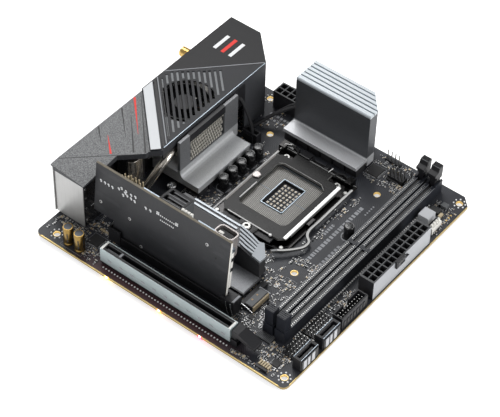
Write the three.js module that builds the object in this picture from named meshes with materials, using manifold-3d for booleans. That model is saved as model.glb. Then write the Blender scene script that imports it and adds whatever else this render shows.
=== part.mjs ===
// A Mini-ITX computer motherboard as an assembly of named solids. Millimetres, +Z up.
//
// While it is being built, X runs from the rear connector edge to the memory edge, Y from the expansion
// slot edge to the processor power edge, and Z = 0 is the top face of the bare board. At the end the whole
// group is moved so that the origin is the middle of the base of its bounding box.
import * as THREE from "three";
import { mergeVertices } from "three/addons/utils/BufferGeometryUtils.js";
import Module from "manifold-3d";

const wasm = await Module();
wasm.setup();

// ---------------------------------------------------------------- driving dimensions

const BOARD = 170; // side of the square board
const BOARD_THICK = 1.6;
const CORNER_RADIUS = 3.5;
const CORNER_CHAMFER = 5.5;
const UNDER = -BOARD_THICK; // underside of the board
const FOOT = UNDER - 2.2; // level that the solder tails and the socket's back plate reach
const MOUNT_HOLES = [
  [10.16, 6.17],
  [165.1, 6.17],
  [165.1, 163.65],
  [33.02, 163.65],
];
const MOUNT_HOLE_RADIUS = 1.98;
const CPU = [88.5, 102.8]; // centre of the processor socket
const COOLER_PITCH = 75; // side of the square of cooler holes
const COOLER_HOLE_RADIUS = 2;

const GAP = 0.3; // between pieces that lie against each other
const SHEET = 1.4; // wall of the plastic rear cover
const BACK = 170.6; // the furthest that the cover and the top heatsink reach in Y
const PANEL = [-2.5, -1.95]; // rear and front face of the rear panel
const JACK_FRONT = -1.65; // mouths of the rear connectors, just inside the panel
const COVER_TOP = 38.1;
const COVER_STEP = 36.6; // top of the lower, grey half of the rear cover
const COVER_EDGE = 37.2; // the cover's long side, in X
const COVER_WALL_START = 133.8; // the side wall reaches the board from here on, in Y
const COVER_HEM = 33; // lower edge of the cover's walls where they are open
const FAN = [21, 100.7];
const FAN_RADIUS = 13.5;
const VENT_CIRCLE = [22.7, 100.7];
const VENT_RADIUS = 16.6;
const POWER_PITCH = 4.2; // cell pitch of the two power connectors
const POWER_CELL = 3.4;
const POWER_CELL_DEEP = 5.8;
const RISER_LEAN = 6; // degrees towards +Y
const LEVER = [134.4, 3.4]; // axis of the socket lever, Y and Z
const LEVER_RADIUS = 0.95;

// ---------------------------------------------------------------- finishes: colour, roughness, metalness

const FINISH = {
  mask: [0x15171a, 0.5, 0.1],
  blackPlastic: [0x1b1b1d, 0.6, 0],
  darkPlastic: [0x2a2b2e, 0.55, 0],
  greyPlastic: [0x6d7074, 0.5, 0],
  blackSteel: [0x222326, 0.4, 0.8],
  steel: [0xc3c6c8, 0.3, 1],
  nickel: [0xb9b3a8, 0.35, 1],
  gunmetal: [0x45484d, 0.45, 0.7],
  gold: [0xc59a3f, 0.35, 1],
  solder: [0xa9adb0, 0.4, 0.9],
  capBlack: [0x202124, 0.35, 0.3],
  wire: [0x4a4c50, 0.6, 0],
  red: [0xa8231f, 0.5, 0],
};

// ---------------------------------------------------------------- making solids

const X = new THREE.Vector3(1, 0, 0);
const Y = new THREE.Vector3(0, 1, 0);
const Z = new THREE.Vector3(0, 0, 1);
const YZ_TO_X = new THREE.Matrix4().makeBasis(Y, Z, X);
const XZ_TO_Y = new THREE.Matrix4().makeBasis(X, Z, Y.clone().negate());

// A closed geometry as a solid that can be joined and cut.
function solid(geometry) {
  const bare = new THREE.BufferGeometry();
  bare.setAttribute("position", geometry.getAttribute("position"));
  bare.setIndex(geometry.getIndex());
  const merged = mergeVertices(bare, 1e-4);
  const mesh = new wasm.Mesh({
    numProp: 3,
    vertProperties: merged.attributes.position.array,
    triVerts: new Uint32Array(merged.index.array),
  });
  return new wasm.Manifold(mesh);
}

// The solid's faces as a geometry with flat shading.
function facesOf(body) {
  const { vertProperties, triVerts } = body.getMesh();
  const indexed = new THREE.BufferGeometry();
  indexed.setAttribute("position", new THREE.BufferAttribute(vertProperties, 3));
  indexed.setIndex(new THREE.BufferAttribute(triVerts, 1));
  const faces = indexed.toNonIndexed();
  faces.computeVertexNormals();
  return faces;
}

const join = (...bodies) => bodies.reduce((whole, next) => whole.add(next));
const cut = (body, ...tools) => tools.reduce((rest, tool) => rest.subtract(tool), body);

function box(x0, x1, y0, y1, z0, z1) {
  const block = new THREE.BoxGeometry(x1 - x0, y1 - y0, z1 - z0);
  return solid(block.translate((x0 + x1) / 2, (y0 + y1) / 2, (z0 + z1) / 2));
}

function outline(points) {
  return new THREE.Shape(points.map(([a, b]) => new THREE.Vector2(a, b)));
}

function extrusion(shape, depth) {
  return new THREE.ExtrudeGeometry(shape, { depth, bevelEnabled: false, curveSegments: 6 });
}

// A plan outline in X, Y standing from z0 to z1.
function prismZ(points, z0, z1) {
  return solid(extrusion(outline(points), z1 - z0).translate(0, 0, z0));
}

// A section in Y, Z running from x0 to x1.
function prismX(points, x0, x1) {
  return solid(extrusion(outline(points), x1 - x0).applyMatrix4(YZ_TO_X).translate(x0, 0, 0));
}

// A section in X, Z running from y0 to y1.
function prismY(points, y0, y1) {
  return solid(extrusion(outline(points), y1 - y0).applyMatrix4(XZ_TO_Y).translate(0, y1, 0));
}

// A round bar along one axis; "at" holds its other two coordinates in X, Y, Z order.
function bar(axis, radius, [a, b], from, to, sides = 16) {
  const round = new THREE.CylinderGeometry(radius, radius, to - from, sides);
  const middle = (from + to) / 2;
  if (axis === "x") round.rotateZ(-Math.PI / 2).translate(middle, a, b);
  if (axis === "y") round.translate(a, middle, b);
  if (axis === "z") round.rotateX(Math.PI / 2).translate(a, b, middle);
  return solid(round);
}

// A turned piece about the vertical; its profile of radius and height starts and ends on the axis.
function turned(profile, sides = 14) {
  const points = profile.map(([radius, height]) => new THREE.Vector2(radius, height));
  return solid(new THREE.LatheGeometry(points, sides).rotateX(Math.PI / 2));
}

// A wire or pipe along a smooth curve; flatten squeezes its section across the curve.
function sweep(points, radius, { sides = 8, steps = 30, flatten = 1 } = {}) {
  const route = new THREE.CatmullRomCurve3(points.map((p) => new THREE.Vector3(...p)));
  const ring = Array.from({ length: sides }, (_, i) => {
    const turn = (2 * Math.PI * i) / sides;
    return [radius * flatten * Math.cos(turn), radius * Math.sin(turn)];
  });
  return solid(new THREE.ExtrudeGeometry(outline(ring), { steps, extrudePath: route, bevelEnabled: false }));
}

// Everything above the plane through three points.
function above(p0, p1, p2) {
  const size = 400;
  const [a, b, c] = [p0, p1, p2].map((p) => new THREE.Vector3(...p));
  const along = b.clone().sub(a).normalize();
  const normal = along.clone().cross(c.clone().sub(a)).normalize();
  if (normal.z < 0) normal.negate();
  const block = new THREE.BoxGeometry(size, size, size).translate(0, 0, size / 2);
  block.applyMatrix4(new THREE.Matrix4().makeBasis(along, normal.clone().cross(along), normal));
  return solid(block.translate(...p0));
}

// The outline of a comb: a straight back and a row of teeth from root to tip.
function comb({ start, count, tooth, pitch, back, root, tip }) {
  const end = start + (count - 1) * pitch + tooth;
  const points = [
    [start, back],
    [end, back],
  ];
  for (let i = count - 1; i >= 0; i--) {
    const left = start + i * pitch;
    points.push([left + tooth, tip], [left, tip]);
    if (i > 0) points.push([left, root], [left - pitch + tooth, root]);
  }
  return points;
}

// A quarter-round fillet, as points about a centre from one angle to another, in degrees.
function arc([cx, cy], radius, from, to, pieces = 4) {
  return Array.from({ length: pieces + 1 }, (_, i) => {
    const turn = THREE.MathUtils.degToRad(from + ((to - from) * i) / pieces);
    return [cx + radius * Math.cos(turn), cy + radius * Math.sin(turn)];
  });
}

function place(parent, name, body, [color, roughness, metalness], position = [0, 0, 0]) {
  const material = new THREE.MeshStandardMaterial({ color, roughness, metalness });
  const mesh = new THREE.Mesh(facesOf(body), material);
  mesh.name = name;
  mesh.position.set(...position);
  parent.add(mesh);
}

// ---------------------------------------------------------------- the bare board and its underside

function bareBoard() {
  const r = CORNER_RADIUS;
  const shape = new THREE.Shape();
  shape.moveTo(r, 0);
  shape.absarc(BOARD - r, r, r, -Math.PI / 2, 0, false);
  shape.lineTo(BOARD, BOARD - CORNER_CHAMFER);
  shape.lineTo(BOARD - CORNER_CHAMFER, BOARD);
  shape.absarc(r, BOARD - r, r, Math.PI / 2, Math.PI, false);
  shape.absarc(r, r, r, Math.PI, 1.5 * Math.PI, false);
  const half = COOLER_PITCH / 2;
  const coolerHoles = [-half, half].flatMap((dx) => [-half, half].map((dy) => [CPU[0] + dx, CPU[1] + dy]));
  const holes = [
    ...MOUNT_HOLES.map((at) => [at, MOUNT_HOLE_RADIUS]),
    ...coolerHoles.map((at) => [at, COOLER_HOLE_RADIUS]),
  ];
  for (const [[x, y], radius] of holes) {
    shape.holes.push(new THREE.Path().absarc(x, y, radius, 0, 2 * Math.PI, true));
  }
  return solid(extrusion(shape, BOARD_THICK).translate(0, 0, UNDER));
}

// The steel plate that takes the socket's clamping load, with cut corners.
function backPlate() {
  const [x0, x1, y0, y1, c] = [64, 113, 66, 140, 8];
  const plan = [
    [x0 + c, y0],
    [x1 - c, y0],
    [x1, y0 + c],
    [x1, y1 - c],
    [x1 - c, y1],
    [x0 + c, y1],
    [x0, y1 - c],
    [x0, y0 + c],
  ];
  return prismZ(plan, FOOT, UNDER);
}

function underside(parent) {
  place(parent, "pcb", bareBoard(), FINISH.mask);
  place(parent, "socket_backplate", backPlate(), FINISH.steel);
  place(parent, "solder_row_pcie", box(45, 129, 6.7, 11.7, FOOT, UNDER), FINISH.solder);
  place(parent, "solder_row_dimm", box(138.6, 151, 28, 158, FOOT, UNDER), FINISH.solder);
  place(parent, "solder_row_io", box(4.5, 16, 21, 89, FOOT, UNDER), FINISH.solder);
}

// ---------------------------------------------------------------- processor socket

const FRAME_TOP = 1.6;

function socketBody() {
  const seat = 2.2;
  const windowFloor = 1;
  const body = box(69.1, 107.5, 81.1, 124.7, 0, 3.6);
  const recess = box(70.4, 106.1, 83.6, 122.2, seat, 5);
  const window = box(81.7, 95.3, 93.4, 114.1, windowFloor, 5);
  return cut(body, recess, window);
}

// A steel ring on the board with two upright lugs that carry the lever.
function socketFrame() {
  const [x0, x1, y0, y1, c] = [63, 114, 67.9, 138.6, 4];
  const plan = [
    [x0 + 12, y0],
    [x1 - 12, y0],
    [x1, y0 + 9],
    [x1, y1 - c],
    [x1 - c, y1],
    [x0 + c, y1],
    [x0, y1 - c],
    [x0, y0 + 9],
  ];
  const ring = cut(prismZ(plan, 0, FRAME_TOP), box(68.6, 108, 80.4, 126.8, -1, 5));
  const lug = (x) => box(x, x + 4, 131.9, 137.5, FRAME_TOP - 0.2, 6);
  const bore = bar("x", LEVER_RADIUS + 0.3, LEVER, x0 - 1, x1 + 1, 12);
  const keeper = box(111.8, 113.6, 94, 100, FRAME_TOP - 0.2, 4.6);
  return cut(join(ring, lug(63.6), lug(109.4), keeper), bore);
}

// Cross bar through both lugs, then the long arm and its curled handle.
function socketLever() {
  const [y, z] = LEVER;
  const arm = 115.4;
  const crossBar = bar("x", LEVER_RADIUS, LEVER, 63.4, arm, 10);
  const armAndHandle = sweep(
    [
      [arm, y, z],
      [arm, y - 4, z],
      [arm, 102, 3.1],
      [arm, 91.6, 3],
      [117.2, 88, 3],
      [120.2, 85.6, 3],
      [120.4, 81, 3],
      [118.2, 77, 3.2],
      [114.2, 72.2, 3.4],
      [110.4, 68.8, 3.6],
    ],
    LEVER_RADIUS,
    { steps: 44 },
  );
  const knuckle = solid(new THREE.SphereGeometry(LEVER_RADIUS * 1.12, 10, 8).translate(arm, y, z));
  return join(crossBar, armAndHandle, knuckle);
}

// The plate that holds the processor down, its window, side flanges, hinge tongue and forked nose.
const PLATE_Z = [4.3, 5.8];
const SHOULDER = [88.5, 71.3];

function loadPlate() {
  const [low, high] = PLATE_Z;
  const plan = [
    [70.9, 74.6],
    [82.6, 74.6],
    [83.6, 69.5],
    [93.4, 69.5],
    [94.4, 74.6],
    [107.2, 74.6],
    [110.6, 78],
    [110.6, 123.7],
    [107.3, 127.1],
    [100.9, 127.1],
    [100.9, 132.4],
    [76.3, 132.4],
    [76.3, 127.1],
    [70.2, 127.1],
    [66.9, 123.7],
    [66.9, 78.6],
  ];
  const [x0, x1, y0, y1, r] = [71.8, 105.2, 83.4, 121.9, 4];
  const window = [
    ...arc([x1 - r, y1 - r], r, 0, 90),
    ...arc([x0 + r, y1 - r], r, 90, 180),
    ...arc([x0 + r, y0 + r], r, 180, 270),
    ...arc([x1 - r, y0 + r], r, 270, 360),
  ];
  const flange = (x) => box(x, x + 1.2, 82, 123, 2.9, high);
  const [sx, sy] = SHOULDER;
  const reach = [low - 1, high + 1];
  const fork = join(bar("z", 3.1, SHOULDER, ...reach, 14), box(sx - 3.1, sx + 3.1, sy - 9, sy, ...reach));
  const plate = join(prismZ(plan, low, high), flange(66.9), flange(109.4));
  return cut(plate, prismZ(window, low - 3, high + 1), fork);
}

// A pan-head screw with a six-sided socket in its head.
function screw(headRadius, headTop, shankTop, shankRadius) {
  const profile = [
    [0, 0],
    [shankRadius, 0],
    [shankRadius, shankTop],
    [headRadius, shankTop],
    [headRadius, headTop - 0.4],
    [headRadius - 0.5, headTop],
    [0, headTop],
  ];
  return cut(turned(profile), bar("z", headRadius * 0.45, [0, 0], headTop - 1, headTop + 1, 6));
}

function processorSocket(parent) {
  place(parent, "socket_body", socketBody(), FINISH.darkPlastic);
  place(parent, "socket_frame", socketFrame(), FINISH.blackSteel);
  place(parent, "socket_lever", socketLever(), FINISH.steel);
  place(parent, "load_plate", loadPlate(), FINISH.blackSteel);
  place(parent, "shoulder_screw", screw(2.7, 5, 2.6, 2), FINISH.steel, [...SHOULDER, FRAME_TOP]);
  place(parent, "socket_screw_left", screw(2.3, 1.8, 0.5, 1.8), FINISH.steel, [71.3, 129.1, FRAME_TOP]);
  place(parent, "socket_screw_right", screw(2.3, 1.8, 0.5, 1.8), FINISH.steel, [106.5, 129.1, FRAME_TOP]);
}

// ---------------------------------------------------------------- power stage cooling

const FOOT_LOW = 5.4; // underside of the heatsink feet, on top of the chokes

// A tall block: grooves along its top, fins along its back and a thin foot in front, over the chokes.
function topHeatsink() {
  const [foot, front, back, top] = [142.5, 152.7, BACK, 39.6];
  const [ridges, ridgePitch, groove, grooveDeep] = [6, 3, 0.9, 1.5];
  const [fins, finPitch, slot, slotDeep, lowestSlot] = [6, 3, 1.8, 7, 10];
  const points = [
    [foot, FOOT_LOW],
    [foot, 7.7],
    ...arc([front - 1.5, 9.2], 1.5, 270, 360),
    [front, top - 0.6],
    [front + 0.6, top],
  ];
  for (let i = 1; i < ridges; i++) {
    const y = front + i * ridgePitch;
    points.push([y, top], [y, top - grooveDeep], [y + groove, top - grooveDeep], [y + groove, top]);
  }
  points.push([back, top]);
  for (let i = fins - 1; i >= 0; i--) {
    const z = lowestSlot + i * finPitch;
    points.push([back, z + slot], [back - slotDeep, z + slot], [back - slotDeep, z], [back, z]);
  }
  points.push([back, 1.4], [front + 0.9, 1.4], [front + 0.9, FOOT_LOW]);
  const cutCorner = [
    [98, 172.3],
    [110.5, 158.3],
    [113, 158.3],
    [113, 174],
    [98, 174],
  ];
  return cut(prismX(points, 58.5, 109.4), prismZ(cutCorner, 0, 50));
}

// A base under the fins, an upright plate with a window onto them, and a foot over the chokes.
function sideHeatsink() {
  const top = 35.6;
  const base = [
    [20.2, FOOT_LOW],
    [53.1, FOOT_LOW],
    [53.1, 9.5],
    ...arc([40.2 + 3.5, 13], 3.5, 270, 180),
    [40.2, top],
    [38.3, top],
    [38.3, 12.6],
    [20.2, 12.6],
  ];
  const plate = box(38.3, 40.2, 118, 124, FOOT_LOW, top);
  return cut(join(prismY(base, 73.7, 119.3), plate), box(37, 41, 82.5, 112, 14.9, 30.7));
}

function chokeRow(start, count) {
  return comb({ start, count, tooth: 7.4, pitch: 8.6, back: FOOT_LOW, root: FOOT_LOW - 0.8, tip: 0 });
}

const finStack = () =>
  prismX(comb({ start: 83, count: 17, tooth: 0.7, pitch: 1.8, back: 12.9, root: 14.2, tip: 26.6 }), 20.4, 38);

// The fan's ring, its three arms and the post that the rotor turns on.
function fanHousing() {
  const [bottom, top] = [27, 36.2];
  const ring = cut(
    bar("z", FAN_RADIUS + 1.1, FAN, bottom, top, 32),
    bar("z", FAN_RADIUS + 0.5, FAN, bottom - 1, top + 1, 32),
  );
  const [x, y] = FAN;
  const arm = (turn) => {
    const strip = new THREE.BoxGeometry(FAN_RADIUS + 0.7, 2.4, 1.2).translate((FAN_RADIUS + 0.7) / 2, 0, 0);
    return solid(strip.rotateZ(turn).translate(x, y, bottom + 0.6));
  };
  const arms = [0, 1, 2].map((i) => arm(Math.PI / 2 + (i * 2 * Math.PI) / 3));
  return join(ring, ...arms, bar("z", 5.2, FAN, bottom, bottom + 1.2), bar("z", 2.2, FAN, bottom, 33.6, 12));
}

// A cup-shaped hub over the post, with a ring of slanted blades.
function fanRotor() {
  const [blades, hub, low, high] = [9, 6, 28.8, 35.6];
  const hubCup = cut(bar("z", hub, FAN, low, high, 20), bar("z", 2.7, FAN, low - 1, 34.1, 12));
  const reach = FAN_RADIUS - hub + 0.6;
  const blade = (turn) => {
    const vane = new THREE.BoxGeometry(reach, 0.8, 6.6).rotateX(0.7).translate(hub + reach / 2 - 0.6, 0, 0);
    return solid(vane.rotateZ(turn).translate(FAN[0], FAN[1], (low + high) / 2));
  };
  return join(hubCup, ...Array.from({ length: blades }, (_, i) => blade((2 * Math.PI * i) / blades)));
}

function fanConnector() {
  const housing = cut(box(40.9, 50.7, 128.1, 132.3, 0, 6.9), box(41.7, 49.9, 128.9, 131.5, 4.6, 8));
  return join(housing, box(43.1, 48.3, 127.4, 128.3, 0, 5.4));
}

const fanCable = () =>
  sweep(
    [
      [27.6, 116, 30],
      [32.4, 124, 29.6],
      [37, 128.8, 28],
      [41.3, 129.9, 20.6],
      [44.6, 130.2, 12.4],
      [46, 130.2, 5.1],
    ],
    1.15,
    { steps: 18, flatten: 0.9 },
  );

const heatpipe = () =>
  sweep(
    [
      [33.6, 80.6, 27.4],
      [35, 73, 27.4],
      [35.6, 66.4, 25.6],
      [34.2, 59.4, 19],
      [32.7, 53.5, 12.6],
      [33.8, 47.8, 8.6],
      [38.3, 44.1, 7.3],
      [49.2, 42.7, 7.2],
    ],
    2.4,
    { sides: 10, steps: 26, flatten: 0.95 },
  );

function powerStage(parent) {
  place(parent, "top_heatsink", topHeatsink(), FINISH.gunmetal);
  place(parent, "side_heatsink", sideHeatsink(), FINISH.gunmetal);
  place(parent, "choke_row_top", prismY(chokeRow(59, 6), 143.3, 151.3), FINISH.darkPlastic);
  place(parent, "choke_row_side", prismX(chokeRow(75.8, 5), 43, 52.2), FINISH.darkPlastic);
  place(parent, "fin_stack", finStack(), FINISH.steel);
  place(parent, "fan_housing", fanHousing(), FINISH.blackPlastic);
  place(parent, "fan_rotor", fanRotor(), FINISH.blackPlastic);
  place(parent, "fan_cable", fanCable(), FINISH.wire);
  place(parent, "fan_connector", fanConnector(), FINISH.blackPlastic);
  place(parent, "heatpipe", heatpipe(), FINISH.steel);
}

// ---------------------------------------------------------------- rear cover

// Plan of the cover, inset on every side by a wall thickness.
function coverPlan(inset) {
  const [rear, side, near, narrow] = [PANEL[0] + inset, COVER_EDGE - inset, 17.6 + inset, 20.7 - inset];
  const far = BACK - inset;
  return [
    [rear, near],
    [narrow, near],
    [narrow, 44.8 + inset * 0.6],
    [31.8 - inset, 55.6 + inset * 0.4],
    [31.8 - inset, 57.4 + inset * 0.4],
    [side, 63 + inset * 0.4],
    [side, 152.5 - inset * 0.4],
    [18.9 - inset * 0.4, far],
    [rear, far],
  ];
}

// The volume under the cover's top: a high far half, a lower near half and a sloping near end.
function coverVolume(inset, drop, base) {
  const nearHalf = [
    [-20, 109],
    [50, 40.8],
    [50, 0],
    [-20, 0],
  ];
  const level = COVER_STEP - drop;
  const slope = above([20.9, 45, level], [-1.6, 23.3, level], [20.5, 17.6, level - 2.7]);
  const block = prismZ(coverPlan(inset), base, COVER_TOP - drop);
  return cut(block, prismZ(nearHalf, level, 60), slope);
}

// Twelve slanting slots: shallow grooves all along, and open above the fan.
function ventSlots(low, high) {
  const [count, pitch, width, lowEndX, firstY] = [12, 4.25, 1.6, 33.35, 72.4];
  const [longest, limit, taper] = [46.5, 142, 0.74];
  return Array.from({ length: count }, (_, i) => {
    const y = firstY + i * pitch;
    const length = Math.min(longest, (limit - y) * taper);
    const slot = new THREE.BoxGeometry(length, width, high - low).translate(-length / 2, 0, 0);
    return solid(slot.rotateZ(-Math.PI / 4).translate(lowEndX, y, (low + high) / 2));
  });
}

function ioCover() {
  const shell = cut(coverVolume(0, 0, 0.4), coverVolume(SHEET, SHEET, -1));
  const openSide = box(-20, 60, 0, COVER_WALL_START, -1, COVER_HEM);
  const openRear = box(-20, PANEL[1] + 1.35, 0, 200, -1, 35.2);
  const slots = join(...ventSlots(30, 50));
  const open = slots.intersect(bar("z", VENT_RADIUS, VENT_CIRCLE, 30, 50, 32));
  const grooves = join(...ventSlots(COVER_TOP - 0.6, 50));
  return cut(shell, openSide, openRear, open, grooves);
}

// ---------------------------------------------------------------- rear connectors and their panel

// Mouths of the rear connectors: low and high Y, low and high Z.
const USB_A = (y, z) => [y, y + 13.2, z, z + 5.6];
const LAN_MOUTHS = [USB_A(21, 2.4), USB_A(21, 10.2), [21.7, 33.5, 19, 30.4]];
const USB_MOUTHS = [2.4, 10.2, 18, 25.8].map((z) => USB_A(55, z));
const VIDEO_MOUTHS = [
  [73.7, 89.3, 2.8, 8],
  [74.2, 88.8, 11.4, 16.2],
  [77, 86, 18.8, 21.8],
];
const AUDIO_HOLES = [6.4, 16.4, 26.4].map((z) => [45.8, z]);
const BUTTON = [98, 5]; // Y and Z of the reset button
const BUTTON_RADIUS = 1.9;
const ANTENNAS = [
  [136, 31],
  [136, 17],
];

const mouth = ([y0, y1, z0, z1], depth) => box(-20, depth, y0, y1, z0, z1);

function jackBlock(y0, y1, back, top, mouths, depth) {
  return cut(box(JACK_FRONT, back, y0, y1, 0, top), ...mouths.map((m) => mouth(m, depth)));
}

function audioJacks() {
  const holes = AUDIO_HOLES.map((at) => bar("x", 1.8, at, -20, 11, 12));
  return cut(box(JACK_FRONT, 15, 39, 52.4, 0, 31.6), ...holes);
}

// The sheet-metal panel, with an opening around each connector.
function rearPanel() {
  const plate = box(...PANEL, 18.6, 169.2, 0.4, 34.9);
  const margin = 0.5;
  const windows = [...LAN_MOUTHS, ...USB_MOUTHS, ...VIDEO_MOUTHS].map(([y0, y1, z0, z1]) =>
    mouth([y0 - margin, y1 + margin, z0 - margin, z1 + margin], 0),
  );
  const round = [
    ...AUDIO_HOLES.map((at) => [at, 3]),
    [BUTTON, BUTTON_RADIUS + 0.4],
    ...ANTENNAS.map((at) => [at, 3.3]),
  ].map(([at, radius]) => bar("x", radius, at, -20, 0, 14));
  return cut(plate, ...windows, ...round);
}

function resetSwitch() {
  const [y, z] = BUTTON;
  return cut(box(-0.6, 6, y - 3.6, y + 3.6, 0, z + 3.4), bar("x", BUTTON_RADIUS + 0.4, BUTTON, -5, 2.1));
}

const resetButton = () => bar("x", BUTTON_RADIUS, BUTTON, -3.4, 0.8);

// A coaxial jack: round inner end, six-sided nut and hollow threaded barrel, along -X from the origin.
function antennaJack() {
  const [barrel, tip] = [3, -8.4];
  const body = bar("x", barrel, [0, 0], tip, 0.3, 18);
  const nut = bar("x", 4.3, [0, 0], -2.6, -0.9, 6);
  return cut(join(body, nut), bar("x", 2.1, [0, 0], tip - 1, tip + 4, 12));
}

function wifiModule() {
  const card = box(-1.4, 16, 129, 143, 0, 34.6);
  return cut(card, box(0.4, 17, 130.6, 144, 4, 32.8));
}

function rearPorts(parent) {
  place(parent, "io_cover", ioCover(), FINISH.blackPlastic);
  place(parent, "io_panel", rearPanel(), FINISH.blackSteel);
  place(parent, "lan_usb_jack", jackBlock(19.3, 35.9, 18.5, 32.5, LAN_MOUTHS, 13), FINISH.nickel);
  place(parent, "usb_stack", jackBlock(54, 69.2, 18.5, 32.5, USB_MOUTHS, 13), FINISH.nickel);
  place(parent, "video_port", jackBlock(71.9, 91.1, 17, 24, VIDEO_MOUTHS, 11), FINISH.nickel);
  place(parent, "audio_jacks", audioJacks(), FINISH.blackPlastic);
  place(parent, "reset_switch", resetSwitch(), FINISH.blackPlastic);
  place(parent, "reset_button", resetButton(), FINISH.red);
  place(parent, "wifi_module", wifiModule(), FINISH.steel);
  ANTENNAS.forEach(([y, z], i) => {
    place(parent, `antenna_jack_${i + 1}`, antennaJack(), FINISH.gold, [PANEL[1] - 0.1, y, z]);
  });
}

// ---------------------------------------------------------------- memory slots

const DIMM_CENTRES = [140.9, 148.6];
const DIMM_START = 23.1;
const DIMM_LENGTH = 135.5; // to the latch

// Body, fixed near tower and the two cheeks that hold the latch; X is centred, Y starts at the near end.
function dimmSlot() {
  const [half, top, towerTop, channel, floor] = [3.2, 8, 18, 0.95, 2.4];
  const [key, end] = [72.6, 142.2];
  const body = box(-half, half, 0, DIMM_LENGTH, 0, top);
  const tower = box(-2.7, 2.7, 0.6, 5.9, top - 0.2, towerTop);
  const cheek = (inner, outer) => box(inner, outer, DIMM_LENGTH - 0.2, end, 0, 9);
  const base = box(-half, half, DIMM_LENGTH - 0.2, end, 0, 1.1);
  const channels = [
    box(-channel, channel, 3.6, key, floor, 30),
    box(-channel, channel, key + 1.6, DIMM_LENGTH + 1, floor, 30),
  ];
  return cut(join(body, tower, cheek(-half, -2), cheek(2, half), base), ...channels);
}

// The swinging latch: narrow between the cheeks, wide above them, with a nose over the module's edge.
function dimmLatch() {
  const section = [
    [136.5, 2.4],
    [139.6, 2.4],
    [141.9, 6.5],
    [142.2, 20],
    [138.6, 20],
    [137.6, 17.4],
    [134.8, 16.4],
    [134.8, 14.8],
    [136.5, 13.8],
  ];
  const narrow = prismX(section, -1.65, 1.65).intersect(box(-5, 5, 120, 150, 0, 11.8));
  const wide = prismX(section, -2.65, 2.65).intersect(box(-5, 5, 120, 150, 11.6, 25));
  return join(narrow, wide);
}

function memorySlots(parent) {
  DIMM_CENTRES.forEach((x, i) => {
    place(parent, `dimm_slot_${i + 1}`, dimmSlot(), FINISH.blackPlastic, [x, DIMM_START, 0]);
    place(parent, `dimm_latch_${i + 1}`, dimmLatch(), FINISH.blackPlastic, [x, DIMM_START, 0]);
  });
}

// ---------------------------------------------------------------- expansion slot

const SLOT = { x0: 41.9, x1: 130.2, y0: 5.5, y1: 12.3, top: 11.2 };

// The plastic body with its keyed channel, and the two cheeks that hold the latch.
function pcieSlot() {
  const wall = 0.55;
  const { x0, x1, y0, y1, top } = SLOT;
  const body = box(x0 + wall, x1 - wall, y0 + wall, y1 - wall, 0, top - 0.2);
  const base = box(x1 - 1.2, 134.6, y0, 13.5, 0, 1.1);
  const cheeks = [box(130.6, 134.6, y0, 6.05, 0, 5), box(130.6, 134.6, 12.95, 13.5, 0, 5)];
  const keyed = [box(43.9, 53.1, 7.5, 10.3, 2.6, 20), box(55.1, 128.2, 7.5, 10.3, 2.6, 20)];
  return cut(join(body, base, ...cheeks), ...keyed);
}

// The steel sleeve around it.
function pcieShield() {
  const wall = 0.45;
  const { x0, x1, y0, y1, top } = SLOT;
  return cut(box(x0, x1, y0, y1, 1.9, top), box(x0 + wall, x1 - wall, y0 + wall, y1 - wall, 0, 20));
}

// The retention latch: a post at the slot's end and an arm that is pressed down.
function pcieLatch() {
  const section = [
    [131, 2.2],
    [133.6, 2.2],
    [134.2, 7.2],
    [145.4, 4.6],
    [145.4, 6.4],
    [135.1, 10.6],
    [131, 11],
  ];
  const wide = prismY(section, 6, 13.4).intersect(box(100, 150, 0, 20, 5.6, 20));
  return join(prismY(section, 6.4, 12.6), wide);
}

function expansionSlot(parent) {
  place(parent, "pcie_slot", pcieSlot(), FINISH.blackPlastic);
  place(parent, "pcie_shield", pcieShield(), FINISH.steel);
  place(parent, "pcie_latch", pcieLatch(), FINISH.blackPlastic);
}

// ---------------------------------------------------------------- riser card and what it carries

// The card stands in its socket and leans; X is the board's, Y is across the card and Z is up its face.
const RISER_FACE = 0.8; // half the card's thickness
const RISER_HEIGHT = 45.8;

function riserCard() {
  const face = [
    [22, 13],
    [35.9, 13],
    [35.9, 1],
    [113, 1],
    [113, RISER_HEIGHT],
    [22, RISER_HEIGHT],
  ];
  return prismY(face, -RISER_FACE, RISER_FACE);
}

function riserSocket() {
  const [y0, y1] = [20.6, 27.7];
  const bed = box(36, 118.6, y0 + 0.5, y1 - 0.5, 0, 6.6);
  const nearEnd = box(34.3, 42.8, y0, y1, 0, 10.2);
  const farEnd = box(111.6, 120.2, y0, y1, 0, 10.4);
  return cut(join(bed, nearEnd, farEnd), box(35.1, 113.8, 21.9, 25.5, 1.4, 20));
}

// One L-shaped serial-data slot along X, cut down from the top.
function dataSlot(x, y, top) {
  const reach = [top - 6.5, top + 1];
  return join(box(x, x + 11.6, y, y + 1.6, ...reach), box(x, x + 1.6, y, y + 3.2, ...reach));
}

function riserDataBlock() {
  const [y0, y1, top] = [RISER_FACE + GAP, 12, 45.4];
  return cut(box(63.6, 78.6, y0, y1, 31, top), dataSlot(65.2, y0 + 1.4, top), dataSlot(65.2, y0 + 6.4, top));
}

function riserFrontPort() {
  const [x0, x1, y0, y1, low, top, wall] = [99.4, 111.6, RISER_FACE + GAP, 8.9, 32, 45, 0.7];
  const hollow = box(x0 + wall, x1 - wall, y0 + wall, y1 - wall, low + 3, top + 1);
  return cut(box(x0, x1, y0, y1, low, top), hollow);
}

function riser(parent) {
  const leaning = new THREE.Group();
  leaning.position.set(0, 23, 0.6);
  leaning.rotation.x = THREE.MathUtils.degToRad(-RISER_LEAN);
  parent.add(leaning);
  place(leaning, "riser_card", riserCard(), FINISH.mask);
  place(leaning, "riser_data_block", riserDataBlock(), FINISH.greyPlastic);
  place(leaning, "riser_front_port", riserFrontPort(), FINISH.steel);
  place(parent, "riser_socket", riserSocket(), FINISH.blackPlastic);
}

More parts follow.
